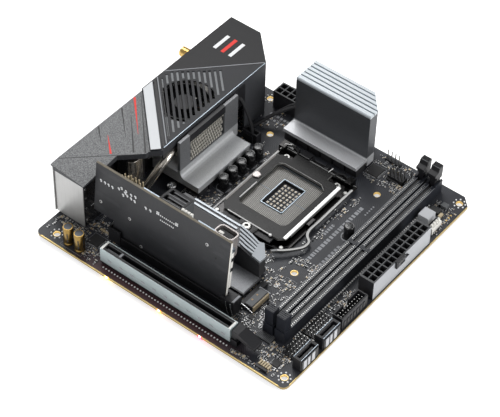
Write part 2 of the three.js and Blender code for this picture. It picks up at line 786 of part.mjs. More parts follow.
// ---------------------------------------------------------------- drive slot and its heatsink

function driveHeatsink() {
  const top = 18.8;
  const plan = [
    [55, 47.8],
    [115.8, 47.8],
    [115.8, 52.9],
    [109.1, 60.4],
    [55, 60.4],
  ];
  const slope = above([93.2, 60.4, top], [102.6, 47.7, top], [115.8, 50.3, top - 5.2]);
  const block = cut(prismZ(plan, 4.2, top), slope);
  const plate = box(39.3, 117, 33, 48.8, 3, 4.5);
  const pad = box(62.5, 108.5, 49.8, 58.7, 1.2, 4.4);
  return join(block, plate, pad);
}

function driveSocket() {
  const frame = box(117.7, 120.9, 28.9, 49.1, 0, 2.5);
  return cut(join(frame, box(120.5, 125.7, 29.6, 43.2, 0, 3.7)), box(116.7, 119.1, 31.3, 47.3, 1.1, 1.8));
}

function driveSlot(parent) {
  place(parent, "drive_heatsink", driveHeatsink(), FINISH.gunmetal);
  place(parent, "drive_socket", driveSocket(), FINISH.darkPlastic);
  place(parent, "drive_screw", screw(2.6, 5, 3, 1.6), FINISH.steel, [37, 70.4, 0]);
}

// ---------------------------------------------------------------- power, data and front-panel connectors

// A block of power cells standing on the board, in columns along X and rows along Y.
function powerBlock([x0, x1], [y0, y1], top, columns, rows) {
  const first = (low, high, count) => (low + high) / 2 - ((count - 1) * POWER_PITCH) / 2;
  const half = POWER_CELL / 2;
  const cells = [];
  for (let i = 0; i < columns; i++) {
    for (let j = 0; j < rows; j++) {
      const x = first(x0, x1, columns) + i * POWER_PITCH;
      const y = first(y0, y1, rows) + j * POWER_PITCH;
      cells.push(box(x - half, x + half, y - half, y + half, top - POWER_CELL_DEEP, top + 1));
    }
  }
  return cut(box(x0, x1, y0, y1, 0, top), ...cells);
}

function mainPowerConnector() {
  const catchBlock = [
    [168.9, 6.4],
    [170.6, 9.6],
    [170.6, 11],
    [168.9, 11],
  ];
  return join(powerBlock([159.5, 169.1], [76.3, 128.8], 12.8, 2, 12), prismY(catchBlock, 98.6, 106.6));
}

function cpuPowerConnector() {
  return join(powerBlock([37.8, 55.7], [159.6, 169.2], 12, 4, 2), box(44, 49.5, 169, 170.6, 6, 10.6));
}

// A shrouded pin header with a key gap in one long wall.
function frontUsbHeader() {
  const shroud = cut(box(162.3, 168.9, 49.6, 71.9, 0, 8), box(163.2, 168, 50.5, 71, 1.6, 9));
  return cut(shroud, box(161, 163.6, 58.4, 62.8, 4, 9));
}

// An upright serial-data port; X is centred and Y starts at its near end.
function dataPort() {
  const [half, length, top] = [2.6, 15, 8.4];
  const slot = join(box(-0.9, 0.7, 1.6, 13.2, 2.2, top + 1), box(-0.9, 1.9, 11.6, 13.2, 2.2, top + 1));
  return cut(box(-half, half, 0, length, 0, top), slot);
}

function edgeConnectors(parent) {
  place(parent, "atx_power_connector", mainPowerConnector(), FINISH.blackPlastic);
  place(parent, "cpu_power_connector", cpuPowerConnector(), FINISH.blackPlastic);
  place(parent, "front_usb_header", frontUsbHeader(), FINISH.blackPlastic);
  [13.9, 32.6].forEach((y, i) => {
    place(parent, `sata_port_${i + 1}`, dataPort(), FINISH.blackPlastic, [166.6, y, 0]);
  });
}

// ---------------------------------------------------------------- capacitors

function capacitor(radius, height) {
  return turned([
    [0, 0],
    [radius + 0.35, 0],
    [radius + 0.35, 0.9],
    [radius, 1.4],
    [radius, height - 0.4],
    [radius - 0.3, height],
    [0, height],
  ]);
}

function audioCapacitor() {
  return turned([
    [0, 0],
    [2.9, 0],
    [2.95, 1.1],
    [2.7, 1.5],
    [2.95, 1.9],
    [2.95, 12.2],
    [2.65, 12.6],
    [0, 12.6],
  ]);
}

function capacitors(parent) {
  const placed = [...[90.5, 98.4, 106.3, 113.9, 121.1].map((y) => [57.3, y]), [132.6, 104.7]];
  placed.forEach(([x, y], i) => {
    place(parent, `capacitor_${i + 1}`, capacitor(2.95, 9), FINISH.capBlack, [x, y, 0]);
  });
  [19.4, 27.2].forEach((x, i) => {
    place(parent, `audio_capacitor_${i + 1}`, audioCapacitor(), FINISH.gold, [x, 5.6, 0]);
  });
}

// ---------------------------------------------------------------- the whole board

const motherboard = new THREE.Group();
motherboard.name = "motherboard";
for (const section of [
  underside,
  processorSocket,
  powerStage,
  rearPorts,
  memorySlots,
  expansionSlot,
  riser,
  driveSlot,
  edgeConnectors,
  capacitors,
]) {
  section(motherboard);
}

const extent = new THREE.Box3().setFromObject(motherboard);
const middle = extent.getCenter(new THREE.Vector3());
motherboard.position.set(-middle.x, -middle.y, -extent.min.z);

export default motherboard;
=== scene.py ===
"""Looks of the motherboard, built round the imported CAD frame.

Positions are in millimetres on the board: X from its rear edge, Y from its expansion-slot edge and Z
up from its top face. place() turns them into the frame's metres.
"""

import math
import random

import bmesh
import bpy
from mathutils import Matrix, Vector


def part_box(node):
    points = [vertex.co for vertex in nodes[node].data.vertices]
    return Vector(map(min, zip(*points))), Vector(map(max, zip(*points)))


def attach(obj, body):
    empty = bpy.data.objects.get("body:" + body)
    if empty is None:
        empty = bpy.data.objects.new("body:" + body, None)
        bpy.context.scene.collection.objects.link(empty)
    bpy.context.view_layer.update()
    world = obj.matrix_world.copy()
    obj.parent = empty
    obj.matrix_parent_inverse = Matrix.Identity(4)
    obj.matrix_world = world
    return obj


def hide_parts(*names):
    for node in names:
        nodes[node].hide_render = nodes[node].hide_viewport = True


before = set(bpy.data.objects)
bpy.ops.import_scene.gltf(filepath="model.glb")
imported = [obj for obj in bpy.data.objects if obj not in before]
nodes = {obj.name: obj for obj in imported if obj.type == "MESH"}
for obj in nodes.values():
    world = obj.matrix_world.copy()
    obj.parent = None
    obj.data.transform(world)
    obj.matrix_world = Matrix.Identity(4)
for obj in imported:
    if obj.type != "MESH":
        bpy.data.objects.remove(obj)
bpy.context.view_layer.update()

MM = 0.001
pcb_low, pcb_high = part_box("pcb")
ORIGIN = Vector((pcb_low.x, pcb_low.y, pcb_high.z))
TAU = 2 * math.pi


def place(x, y, z=0.0):
    return ORIGIN + Vector((x, y, z)) * MM


def shown(name, data):
    """An object of its own in the scene."""
    thing = bpy.data.objects.new(name, data)
    bpy.context.scene.collection.objects.link(thing)
    return thing


# ---- camera

def add_camera():
    azimuth, elevation, roll = (math.radians(a) for a in (37.13, 46.417, 1.844))
    back = Vector((
        math.sin(azimuth) * math.cos(elevation),
        -math.cos(azimuth) * math.cos(elevation),
        math.sin(elevation),
    ))
    level = Vector((0, 0, 1)).cross(back).normalized()
    over = back.cross(level)
    right = level * math.cos(roll) + over * math.sin(roll)
    up = over * math.cos(roll) - level * math.sin(roll)
    data = bpy.data.cameras.new("camera")
    data.sensor_width = 36
    data.lens = 134.455
    data.clip_end = 20
    camera = shown("camera", data)
    turn = Matrix((right, up, back)).transposed().to_4x4()
    camera.matrix_world = Matrix.Translation(place(78.563, 87.21) + back * 1.02198) @ turn
    bpy.context.scene.camera = camera


add_camera()


# ---- materials

class Shader:
    """A Principled material whose patterns run in board millimetres."""

    def __init__(self, roughness=0.5, metallic=0.0, coat=0.0, ior=1.5):
        self.material = bpy.data.materials.new("finish")
        self.material.use_nodes = True
        self.tree = self.material.node_tree
        self.surface = self.tree.nodes["Principled BSDF"].inputs
        for socket, value in (("Roughness", roughness), ("Metallic", metallic), ("Coat Weight", coat),
                              ("Coat Roughness", 0.15), ("IOR", ior)):
            self.surface[socket].default_value = value
        at = self.add("TexCoord")["Object"]
        shifted = self.add("VectorMath", {0: at, 1: ORIGIN}, operation="SUBTRACT")[0]
        self.at = self.add("VectorMath", {0: shifted, "Scale": 1 / MM}, operation="SCALE")[0]

    def put(self, socket, value):
        """Link a node's output to a socket, or set the socket to a constant."""
        if isinstance(value, bpy.types.NodeSocket):
            self.tree.links.new(value, socket)
        else:
            socket.default_value = value

    def add(self, kind, values=None, **settings):
        """A new node's outputs."""
        node = self.tree.nodes.new("ShaderNode" + kind)
        for key, value in settings.items():
            setattr(node, key, value)
        for key, value in (values or {}).items():
            self.put(node.inputs[key], value)
        return node.outputs

    def noise(self, per_mm, detail=2.0, along=(1, 1, 1)):
        spot = self.add("VectorMath", {0: self.at, 1: along}, operation="MULTIPLY")[0]
        return self.add("TexNoise", {"Vector": spot, "Scale": per_mm, "Detail": detail})["Fac"]

    def waves(self, per_mm, direction, distortion=0.0):
        values = {"Vector": self.at, "Scale": per_mm, "Distortion": distortion}
        return self.add("TexWave", values, bands_direction=direction)["Fac"]

    def math(self, operation, a, b=0.0, c=0.0):
        return self.add("Math", {0: a, 1: b, 2: c}, operation=operation)[0]

    def ramp(self, factor, low, high):
        """0 below low, 1 above high, and straight between them."""
        return self.add("MapRange", {"Value": factor, "From Min": low, "From Max": high})["Result"]

    def mix(self, factor, a, b):
        a, b = ((*c, 1) if isinstance(c, tuple) else c for c in (a, b))
        return self.add("Mix", {"Factor": factor, "A": a, "B": b}, data_type="RGBA")["Result"]

    def choose(self, factor, a, b):
        """Like mix, for plain values."""
        return self.add("Mix", {"Factor": factor, "A": a, "B": b}, data_type="FLOAT")["Result"]

    def axes(self):
        return self.add("SeparateXYZ", {0: self.at})

    def facing(self, axis):
        """How far the surface faces along an axis of the board, 0 to 1 either way."""
        normal = self.add("NewGeometry")["True Normal"]
        return self.math("ABSOLUTE", self.add("SeparateXYZ", {0: normal})[axis])

    def color(self, value):
        self.put(self.surface["Base Color"], value)

    def uneven(self, factor, low, high):
        """Roughness that runs between two values with a pattern."""
        rough = self.add("MapRange", {"Value": factor, "To Min": low, "To Max": high})["Result"]
        self.put(self.surface["Roughness"], rough)

    def bump(self, height, deep_mm, strength=0.6):
        values = {"Strength": strength, "Distance": deep_mm * MM, "Height": height}
        self.put(self.surface["Normal"], self.add("Bump", values)[0])
        return self.material


def shade(color, amount):
    return tuple(min(1.0, c * amount) for c in color)


def plastic(color, roughness=0.5, grain=3.0, deep=0.02, spread=0.18, coat=0.0):
    s = Shader(roughness, coat=coat, ior=1.38)
    fine = s.noise(grain, 3)
    broad = s.noise(0.12, 2)
    both = s.math("ADD", s.math("MULTIPLY", fine, 0.6), s.math("MULTIPLY", broad, 0.4))
    s.color(s.mix(both, shade(color, 1 - spread), shade(color, 1 + spread)))
    s.uneven(fine, roughness - 0.08, min(1, roughness + 0.1))
    return s.bump(fine, deep)


def metal(color, roughness=0.3, along=(1, 1, 1), grain=3.0, deep=0.008, spread=0.1, full=1.0):
    s = Shader(roughness, metallic=full)
    streaks = s.noise(grain, 3, along)
    clouds = s.noise(0.08, 2)
    both = s.math("ADD", s.math("MULTIPLY", streaks, 0.5), s.math("MULTIPLY", clouds, 0.5))
    s.color(s.mix(both, shade(color, 1 - spread), shade(color, 1 + spread)))
    s.uneven(streaks, max(0.05, roughness - 0.08), roughness + 0.12)
    return s.bump(streaks, deep, 0.4)


def glowing(color, strength):
    s = Shader(0.4)
    spots = s.noise(2.0)
    s.color(s.mix(spots, shade(color, 0.8), color))
    s.surface["Emission Color"].default_value = (*color, 1)
    s.surface["Emission Strength"].default_value = strength
    return s.material


def circuit(mask, line, edge, upright=2, painted_lamp_glow=None):
    """Solder mask over fine traces, with a bare edge; the optional tint is painted glow of the edge lamps on
    the mask near the lamp-lit edge.
    """
    s = Shader(0.42, ior=1.38)
    x, y, _ = s.axes()
    diagonal = s.waves(0.42, "DIAGONAL")
    straight = s.waves(0.36, "Y", 0.6)
    across = s.waves(0.36, "X", 0.6)
    cells = s.add("TexVoronoi", {"Vector": s.at, "Scale": 0.07}, feature="F1", distance="CHEBYCHEV")["Color"]
    pick = s.add("SeparateColor", {0: cells})
    first = s.math("GREATER_THAN", pick[0], 0.4)
    second = s.math("GREATER_THAN", pick[1], 0.5)
    traces = s.ramp(s.choose(second, s.choose(first, straight, across), diagonal), 0.72, 0.86)
    shown = s.math("MULTIPLY", traces, s.ramp(s.noise(0.09, 2), 0.42, 0.6))
    base = s.mix(s.noise(0.5, 3), shade(mask, 0.9), shade(mask, 1.12))
    base = s.mix(shown, base, line)
    if painted_lamp_glow:
        # Painted lamp glow: the mask turns towards the tint near the lamp-lit edge.
        near = s.ramp(y, 15, 2)
        middle = s.math("MULTIPLY", s.ramp(x, 22, 45), s.ramp(x, 146, 120))
        base = s.mix(s.math("MULTIPLY", s.math("MULTIPLY", near, middle), 0.8), base, painted_lamp_glow)
    s.color(s.mix(s.ramp(s.facing(upright), 0.75, 0.6), base, edge))
    s.uneven(s.noise(1.5), 0.36, 0.5)
    return s.bump(shown, 0.02, 0.5)


def cover_finish():
    """Dark satin plastic whose near part is a lighter speckled grey."""
    s = Shader(0.5, ior=1.36)
    x, y, z = s.axes()
    across = s.math("MULTIPLY_ADD", x, STRIPE_SLOPE, y)
    speckle = s.noise(1.7, 3)
    broad = s.noise(0.05, 1)
    grey = s.mix(s.ramp(speckle, 0.36, 0.64), (0.075, 0.078, 0.082), (0.24, 0.245, 0.25))
    dark = s.mix(speckle, (0.009, 0.009, 0.01), (0.015, 0.015, 0.017))
    side = s.mix(s.ramp(speckle, 0.3, 0.7), (0.03, 0.032, 0.036), (0.06, 0.062, 0.068))
    middle = s.mix(broad, (0.013, 0.014, 0.017), (0.024, 0.025, 0.029))
    far = s.ramp(s.math("MULTIPLY_ADD", x, -FAR_SLOPE, y), FAR_LINE - 0.1, FAR_LINE + 0.1)
    top = s.mix(far, middle, dark)
    top = s.mix(s.ramp(across, STRIPE_FOOT + 0.1, STRIPE_FOOT - 0.1), top, grey)
    s.color(s.mix(s.ramp(s.facing(2), 0.8, 0.6), top, side))
    s.uneven(speckle, 0.4, 0.6)
    return s.bump(speckle, 0.03, 0.5)


def heatsink_finish(body, foot=None, foot_top=8.2, top=None, level=0):
    """Sand-blasted grey; the foot, and the faces above a level, may have colours of their own."""
    s = Shader(0.42, metallic=0.4)
    z = s.axes()[2]
    grains = s.noise(2.6, 2)
    color = s.mix(s.ramp(grains, 0.3, 0.7), shade(body, 0.7), shade(body, 1.1))
    if foot:
        low = s.mix(s.ramp(grains, 0.3, 0.7), shade(foot, 0.85), shade(foot, 1.15))
        color = s.mix(s.ramp(z, foot_top + 0.2, foot_top - 0.3), color, low)
    if top:
        light = s.mix(grains, shade(top, 0.9), shade(top, 1.1))
        color = s.mix(s.ramp(z, level - 0.15, level + 0.15), color, light)
    s.color(color)
    s.uneven(grains, 0.36, 0.5)
    return s.bump(grains, 0.02, 0.5)


def load_plate_finish():
    """Smooth black plating, with a paler metal colour on the faces that don't look up: a painted highlight on
    the cut edges.
    """
    s = Shader(0.28, ior=1.26)
    clouds = s.noise(0.08)
    black = s.mix(clouds, (0.003, 0.003, 0.003), (0.007, 0.007, 0.007))
    painted_edge_highlight = s.mix(clouds, (0.1, 0.1, 0.098), (0.17, 0.17, 0.165))
    # The side faces' paler colour is a painted highlight.
    s.color(s.mix(s.ramp(s.facing(2), 0.6, 0.2), black, painted_edge_highlight))
    s.uneven(clouds, 0.22, 0.32)
    return s.material


def lever_finish():
    """A wire painted bright on its upper faces and dark on its flanks, painted highlight and painted shade;
    black beyond Y 131, where it crosses behind the socket.
    """
    s = Shader(0.2, metallic=0.5)
    _, y, _ = s.axes()
    streaks = s.noise(2.0)
    bright = s.mix(streaks, (0.8, 0.8, 0.79), (0.92, 0.92, 0.91))
    # Painted highlight on the faces that look up, painted shade on the flanks.
    wire = s.mix(s.ramp(s.facing(2), 0.75, 0.95), (0.1, 0.1, 0.1), bright)
    s.color(s.mix(s.ramp(y, 130.6, 131.2), wire, (0.012, 0.012, 0.012)))
    s.uneven(streaks, 0.14, 0.26)
    return s.material


def power_finish():
    """Black nylon, with grey rims and a paler outer wall that are painted highlights."""
    s = Shader(0.45, ior=1.38)
    x, _, z = s.axes()
    fine = s.noise(2.5)
    black = s.mix(fine, (0.014, 0.014, 0.016), (0.024, 0.024, 0.027))
    rim = s.mix(fine, (0.05, 0.052, 0.055), (0.075, 0.078, 0.082))
    painted_lit_wall = s.mix(fine, (0.3, 0.31, 0.33), (0.38, 0.39, 0.41))
    # Painted highlights: upward faces above Z 11.5 turn grey, outward faces beyond X 168.6 a pale grey.
    up = s.math("MULTIPLY", s.ramp(s.facing(2), 0.5, 0.8), s.ramp(z, 11.5, 11.7))
    out = s.math("MULTIPLY", s.ramp(s.facing(0), 0.7, 0.9), s.ramp(x, 168.6, 168.8))
    s.color(s.mix(out, s.mix(up, black, rim), painted_lit_wall))
    s.uneven(fine, 0.38, 0.5)
    return s.bump(fine, 0.02)


def contact_field():
    """The socket's bed of spring contacts: pale points in a close grid on grey plastic."""
    s = Shader(0.4, metallic=0.4)
    wave_x = s.waves(0.36, "X")
    wave_y = s.waves(0.36, "Y")
    points = s.math("MULTIPLY", s.ramp(wave_x, 0.35, 0.75), s.ramp(wave_y, 0.35, 0.75))
    s.color(s.mix(points, (0.06, 0.06, 0.058), (0.48, 0.46, 0.42)))
    s.uneven(points, 0.3, 0.5)
    return s.bump(points, 0.1, 0.7)


STRIPE_SLOPE = 0.974  # fall in Y for each millimetre of X along the cover's silver stripe
STRIPE_FOOT = 89.45  # Y + slope x X on the stripe's near edge
FAR_SLOPE = 0.9846  # rise along the line that starts the cover's far, darkest part
FAR_LINE = 114.1

M = {
    # The board's red tint by its near edge is painted glow of the edge lamps.
    "board": circuit((0.023, 0.025, 0.031), (0.05, 0.053, 0.062), (0.34, 0.25, 0.1),
                     painted_lamp_glow=(0.055, 0.012, 0.014)),
    "riser": circuit((0.024, 0.025, 0.028), (0.034, 0.035, 0.039), (0.17, 0.15, 0.11), upright=1),
    "cover": cover_finish(),
    "black": plastic((0.012, 0.012, 0.014), 0.42),
    "dimm": plastic((0.016, 0.018, 0.024), 0.4),
    "dark": plastic((0.022, 0.022, 0.024), 0.5),
    "gloss": plastic((0.008, 0.008, 0.009), 0.18, coat=0.5, deep=0.004),
    "plating": metal((0.035, 0.034, 0.034), 0.2, grain=0.6, deep=0.004),
    "grey": plastic((0.1, 0.105, 0.11), 0.5),
    "pale": plastic((0.45, 0.46, 0.48), 0.4, spread=0.1),
    "white": plastic((0.75, 0.74, 0.7), 0.45, spread=0.06),
    "cream": plastic((0.46, 0.38, 0.25), 0.45, spread=0.15),
    "tan": plastic((0.3, 0.21, 0.12), 0.5, spread=0.2),
    "print": plastic((0.3, 0.31, 0.33), 0.6, spread=0.12, deep=0.004),
    "print_white": plastic((0.8, 0.81, 0.82), 0.5, spread=0.04, deep=0.004),
    "red": plastic((0.72, 0.03, 0.02), 0.45, spread=0.08, deep=0.004),
    "red_plastic": plastic((0.45, 0.02, 0.015), 0.35),
    "blue": plastic((0.02, 0.09, 0.2), 0.4),
    "paint_black": plastic((0.01, 0.01, 0.011), 0.4, deep=0.004),
    "epoxy": plastic((0.028, 0.028, 0.029), 0.55, grain=5, deep=0.01),
    "rubber": plastic((0.018, 0.018, 0.02), 0.55),
    "steel": metal((0.62, 0.63, 0.64), 0.22),
    "slot_shell": metal((0.36, 0.42, 0.43), 0.42, (0.04, 1, 1), grain=1.2, spread=0.2, full=0.35),
    "nickel": metal((0.6, 0.59, 0.56), 0.3, (1, 1, 0.08)),
    "shield": metal((0.46, 0.46, 0.455), 0.42, (1, 1, 0.04), grain=1.2, spread=0.22, full=0.5),
    "chrome": metal((0.62, 0.61, 0.61), 0.16, deep=0.002),
    "silver": metal((0.85, 0.85, 0.84), 0.3, grain=0.1, deep=0.001, full=0.3),
    "clip": metal((0.42, 0.39, 0.38), 0.35, full=0.7),
    "card_edge": plastic((0.16, 0.14, 0.105), 0.5),
    # pale grey for painted highlights: in the vent's grooves and along the memory slots' edges
    "painted_highlight_grey": plastic((0.2, 0.21, 0.22), 0.45, spread=0.25),
    "can_top": metal((0.05, 0.053, 0.06), 0.35, full=0.6),
    "rim": metal((0.42, 0.32, 0.13), 0.35),
    "pipe": metal((0.66, 0.62, 0.56), 0.2, grain=0.5, deep=0.003),
    "fins": metal((0.72, 0.69, 0.62), 0.35, full=0.55),
    "solder": metal((0.5, 0.5, 0.5), 0.35, deep=0.01, full=0.5),
    "contact": metal((0.33, 0.33, 0.32), 0.35, deep=0.004),
    "gold": metal((0.85, 0.6, 0.22), 0.28),
    "gold_can": metal((0.27, 0.175, 0.055), 0.3, (1, 1, 0.2)),
    "blue_grey": metal((0.32, 0.37, 0.42), 0.35),
    "silver_print": plastic((0.6, 0.62, 0.64), 0.35, spread=0.05, deep=0.004),
    "top_sink": heatsink_finish((0.08, 0.084, 0.092), (0.6, 0.61, 0.63), top=(0.5, 0.54, 0.57), level=37.9),
    "side_sink": heatsink_finish((0.19, 0.195, 0.205), (0.46, 0.47, 0.48), foot_top=14.6),
    "drive_sink": heatsink_finish((0.055, 0.056, 0.06)),
    "drive_bright": metal((0.42, 0.45, 0.48), 0.4, grain=4, deep=0.01, spread=0.25, full=0.4),
    "drive_plate": heatsink_finish((0.17, 0.175, 0.185)),
    "sleeve": plastic((0.01, 0.01, 0.011), 0.2, coat=0.4, deep=0.004),
    "led_yellow": glowing((1, 0.62, 0.05), 6),
    "led_orange": glowing((1, 0.22, 0.02), 6),
    "led_red": glowing((1, 0.02, 0.06), 6),
    "led_core": glowing((1, 0.95, 0.85), 4),
    "plate": load_plate_finish(),
    "lever": lever_finish(),
    "power": power_finish(),
    "field": contact_field(),
}
for name, material in M.items():
    material.name = name


# ---- building pieces

def skin(count, sides):
    """Faces that join rings of points and close the first and the last."""
    last = (count - 1) * sides
    lists = [(k + i, k + (i + 1) % sides, k + sides + (i + 1) % sides, k + sides + i)
             for k in range(0, last, sides) for i in range(sides)]
    return [*lists, tuple(range(sides))[::-1], tuple(range(last, last + sides))]


def turned(a, b, radius, height, angle, axis):
    """A point turned about an axis through (a, b): up, or along X with a and b as Y and Z."""
    c, s = radius * math.cos(angle), radius * math.sin(angle)
    return (a + c, b + s, height) if axis == "z" else (height, a + c, b + s)


class Piece:
    """A mesh of small solids in board millimetres, made into one object by done()."""

    def __init__(self, name, *finishes, body="board", lean=0.0):
        self.name, self.body, self.finishes = name, body, finishes
        self.mesh = bmesh.new()
        self.lean = math.radians(lean)

    def point(self, x, y, z):
        if self.lean:
            c, s = math.cos(self.lean), math.sin(self.lean)
            y, z = RISER_FOOT[0] + y * c + z * s, RISER_FOOT[1] - y * s + z * c
        return place(x, y, z)

    def faces(self, points, lists, finish=0):
        corners = [self.mesh.verts.new(self.point(*p)) for p in points]
        for one in lists:
            face = self.mesh.faces.new([corners[i] for i in one])
            face.material_index = finish
        return self

    def prism(self, outline, z0, z1, finish=0):
        points = [(x, y, z) for z in (z0, z1) for x, y in outline]
        return self.faces(points, skin(2, len(outline)), finish)

    def block(self, x0, x1, y0, y1, z0, z1, finish=0):
        return self.prism([(x0, y0), (x1, y0), (x1, y1), (x0, y1)], z0, z1, finish)

    def blocks(self, finish, *boxes):
        for box in boxes:
            self.block(*box, finish)

    def post(self, x, y, half_x, half_y, z0, z1, finish=0):
        """A block centred on (x, y)."""
        return self.block(x - half_x, x + half_x, y - half_y, y + half_y, z0, z1, finish)

    def row(self, count, step, x0, x1, y0, y1, z0, z1, finish=0):
        """A block repeated along (X, Y) steps."""
        for k in range(count):
            dx, dy = k * step[0], k * step[1]
            self.block(x0 + dx, x1 + dx, y0 + dy, y1 + dy, z0, z1, finish)

    def beads(self, count, step, x, y, profile, sides, finish=0):
        """A small turned shape repeated along (X, Y) steps."""
        for k in range(count):
            self.lathe(x + k * step[0], y + k * step[1], profile, sides, finish)

    def frame(self, x0, x1, y0, y1, width, z0, z1):
        """Four bars just inside a rectangle."""
        self.blocks(0, (x0, x1, y0, y0 + width, z0, z1), (x0, x1, y1 - width, y1, z0, z1),
                    (x0, x0 + width, y0, y1, z0, z1), (x1 - width, x1, y0, y1, z0, z1))

    def strip(self, start, end, width, z0, z1, finish=0, far_width=None):
        """A flat bar between two points of the board."""
        (xa, ya), (xb, yb) = start, end
        long = math.hypot(xb - xa, yb - ya)
        nx, ny = -(yb - ya) / long / 2, (xb - xa) / long / 2
        w, v = width, far_width or width
        outline = [(xa - nx * w, ya - ny * w), (xb - nx * v, yb - ny * v),
                   (xb + nx * v, yb + ny * v), (xa + nx * w, ya + ny * w)]
        return self.prism(outline, z0, z1, finish)

    def lathe(self, x, y, profile, sides=20, finish=0, axis="z"):
        """A solid turned from (radius, height) pairs."""
        points = [turned(x, y, r, h, TAU * i / sides, axis) for r, h in profile for i in range(sides)]
        return self.faces(points, skin(len(profile), sides), finish)

    def tube(self, path, radius, sides=8, finish=0):
        """A round wire through the points of a path."""
        spots = [Vector(p) for p in path]
        points, side = [], None
        for i, spot in enumerate(spots):
            ahead = (spots[min(i + 1, len(spots) - 1)] - spots[max(i - 1, 0)]).normalized()
            if side is None:
                side = ahead.cross(Vector((0, 0, 1) if abs(ahead.z) < 0.9 else (1, 0, 0))).normalized()
            side = (side - ahead * side.dot(ahead)).normalized()
            over = ahead.cross(side)
            for k in range(sides):
                a = TAU * k / sides
                points.append(tuple(spot + (side * math.cos(a) + over * math.sin(a)) * radius))
        return self.faces(points, skin(len(spots), sides), finish)

    def bent(self, path, radius):
        """A thick round wire that bends smoothly through the points of a path."""
        spots = [Vector(p) for p in path]
        spots = [spots[0] * 2 - spots[1], *spots, spots[-1] * 2 - spots[-2]]
        smooth, steps = [], 8
        for a, b, c, d in zip(spots, spots[1:], spots[2:], spots[3:]):
            for k in range(steps):
                t = k / steps
                smooth.append((b * 2 + (c - a) * t + (a * 2 - b * 5 + c * 4 - d) * t * t
                               + (b * 3 - a - c * 3 + d) * t * t * t) / 2)
        return self.tube([*smooth, spots[-2]], radius, sides=20)

    def hollow(self, a, b, section, sides=24, axis="x"):
        """A closed section of (radius, height) pairs, turned into a ring."""
        n = len(section)
        points = [turned(a, b, r, h, TAU * k / sides, axis) for k in range(sides) for r, h in section]
        lists = [(k * n + i, k * n + (i + 1) % n, (k + 1) % sides * n + (i + 1) % n, (k + 1) % sides * n + i)
                 for k in range(sides) for i in range(n)]
        return self.faces(points, lists)

    def pad(self, x, z, radius, finish=0, proud=0.1):
        """A round pad on the near face of the riser card."""
        sides = 14
        points = [(x + radius * math.cos(TAU * k / sides), y, z + radius * math.sin(TAU * k / sides))
                  for y in (RISER_FACE, RISER_FACE - proud) for k in range(sides)]
        return self.faces(points, skin(2, sides), finish)

    def done(self, bevel=0, smooth=False, replaces=()):
        """Make the object: its finishes and its body, and hide the parts that it replaces."""
        bmesh.ops.recalc_face_normals(self.mesh, faces=self.mesh.faces)
        data = bpy.data.meshes.new(self.name)
        self.mesh.to_mesh(data)
        self.mesh.free()
        for finish in self.finishes:
            data.materials.append(M[finish])
        thing = shown(self.name, data)
        if smooth:
            data.shade_smooth()
            data.set_sharp_from_angle(angle=math.radians(40))
        if bevel:
            soften(thing, bevel)
        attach(thing, self.body)
        if replaces:
            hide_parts(*replaces)


def soften(thing, width):
    edge = thing.modifiers.new("rounded_edges", "BEVEL")
    edge.width = width * MM
    edge.segments = 2
    edge.limit_method = "ANGLE"
    edge.angle_limit = math.radians(40)
    edge.harden_normals = True


RISER_FOOT = (23.0, 0.6)  # Y and Z of the riser card's foot
RISER_LEAN = 6.0

# ---- finishes of the CAD nodes

FINISH = {
    "board": ["pcb"],
    "plating": ["socket_backplate", "socket_frame"],
    "solder": ["solder_row_pcie", "solder_row_dimm", "solder_row_io"],
    "lever": ["socket_lever"],
    "contact": ["shoulder_screw", "socket_screw_left", "socket_screw_right"],
    "steel": ["drive_screw"],
    "plate": ["load_plate"],
    "dark": ["socket_body", "choke_row_top", "choke_row_side", "drive_socket"],
    "top_sink": ["top_heatsink"],
    "side_sink": ["side_heatsink"],
    "fins": ["fin_stack"],
    "black": ["fan_housing", "fan_rotor", "fan_connector", "audio_jacks", "reset_switch", "pcie_slot",
              "pcie_latch", "riser_data_block", "riser_socket", "front_usb_header", "sata_port_1",
              "sata_port_2", "dimm_latch_1", "dimm_latch_2"],
    "rubber": ["fan_cable"],
    "pipe": ["heatpipe"],
    "cover": ["io_cover"],
    "shield": ["lan_usb_jack", "io_panel"],
    "slot_shell": ["pcie_shield"],
    "nickel": ["usb_stack", "video_port", "wifi_module"],
    "red_plastic": ["reset_button"],
    "gold": ["antenna_jack_1", "antenna_jack_2"],
    "dimm": ["dimm_slot_1", "dimm_slot_2"],
    "riser": ["riser_card"],
    "chrome": ["riser_front_port"],
    "drive_sink": ["drive_heatsink"],
    "power": ["atx_power_connector", "cpu_power_connector"],
}
ROUNDED = {
    "top_heatsink": 0.25, "side_heatsink": 0.3, "io_cover": 0.25, "load_plate": 0.3, "socket_frame": 0.25,
    "pcie_shield": 0.15, "pcie_latch": 0.3, "dimm_latch_1": 0.3, "dimm_latch_2": 0.3, "dimm_slot_1": 0.2,
    "dimm_slot_2": 0.2, "drive_heatsink": 0.25, "riser_data_block": 0.2, "riser_socket": 0.3,
    "atx_power_connector": 0.15, "cpu_power_connector": 0.15, "front_usb_header": 0.2, "sata_port_1": 0.2,
    "sata_port_2": 0.2, "lan_usb_jack": 0.3, "riser_card": 0.12,
}


def finish_nodes():
    for finish, names in FINISH.items():
        for name in names:
            data = nodes[name].data
            data.materials.clear()
            data.materials.append(M[finish])
    for name, width in ROUNDED.items():
        weld = nodes[name].modifiers.new("joined_corners", "WELD")
        weld.merge_threshold = 0.001 * MM
        soften(nodes[name], width)


# ---- rear cover

COVER_NEAR, COVER_FAR = 36.6, 38.1  # levels of the cover's grey half and of its dark half
FOIL = 0.12  # thickness of printed and inlaid strips


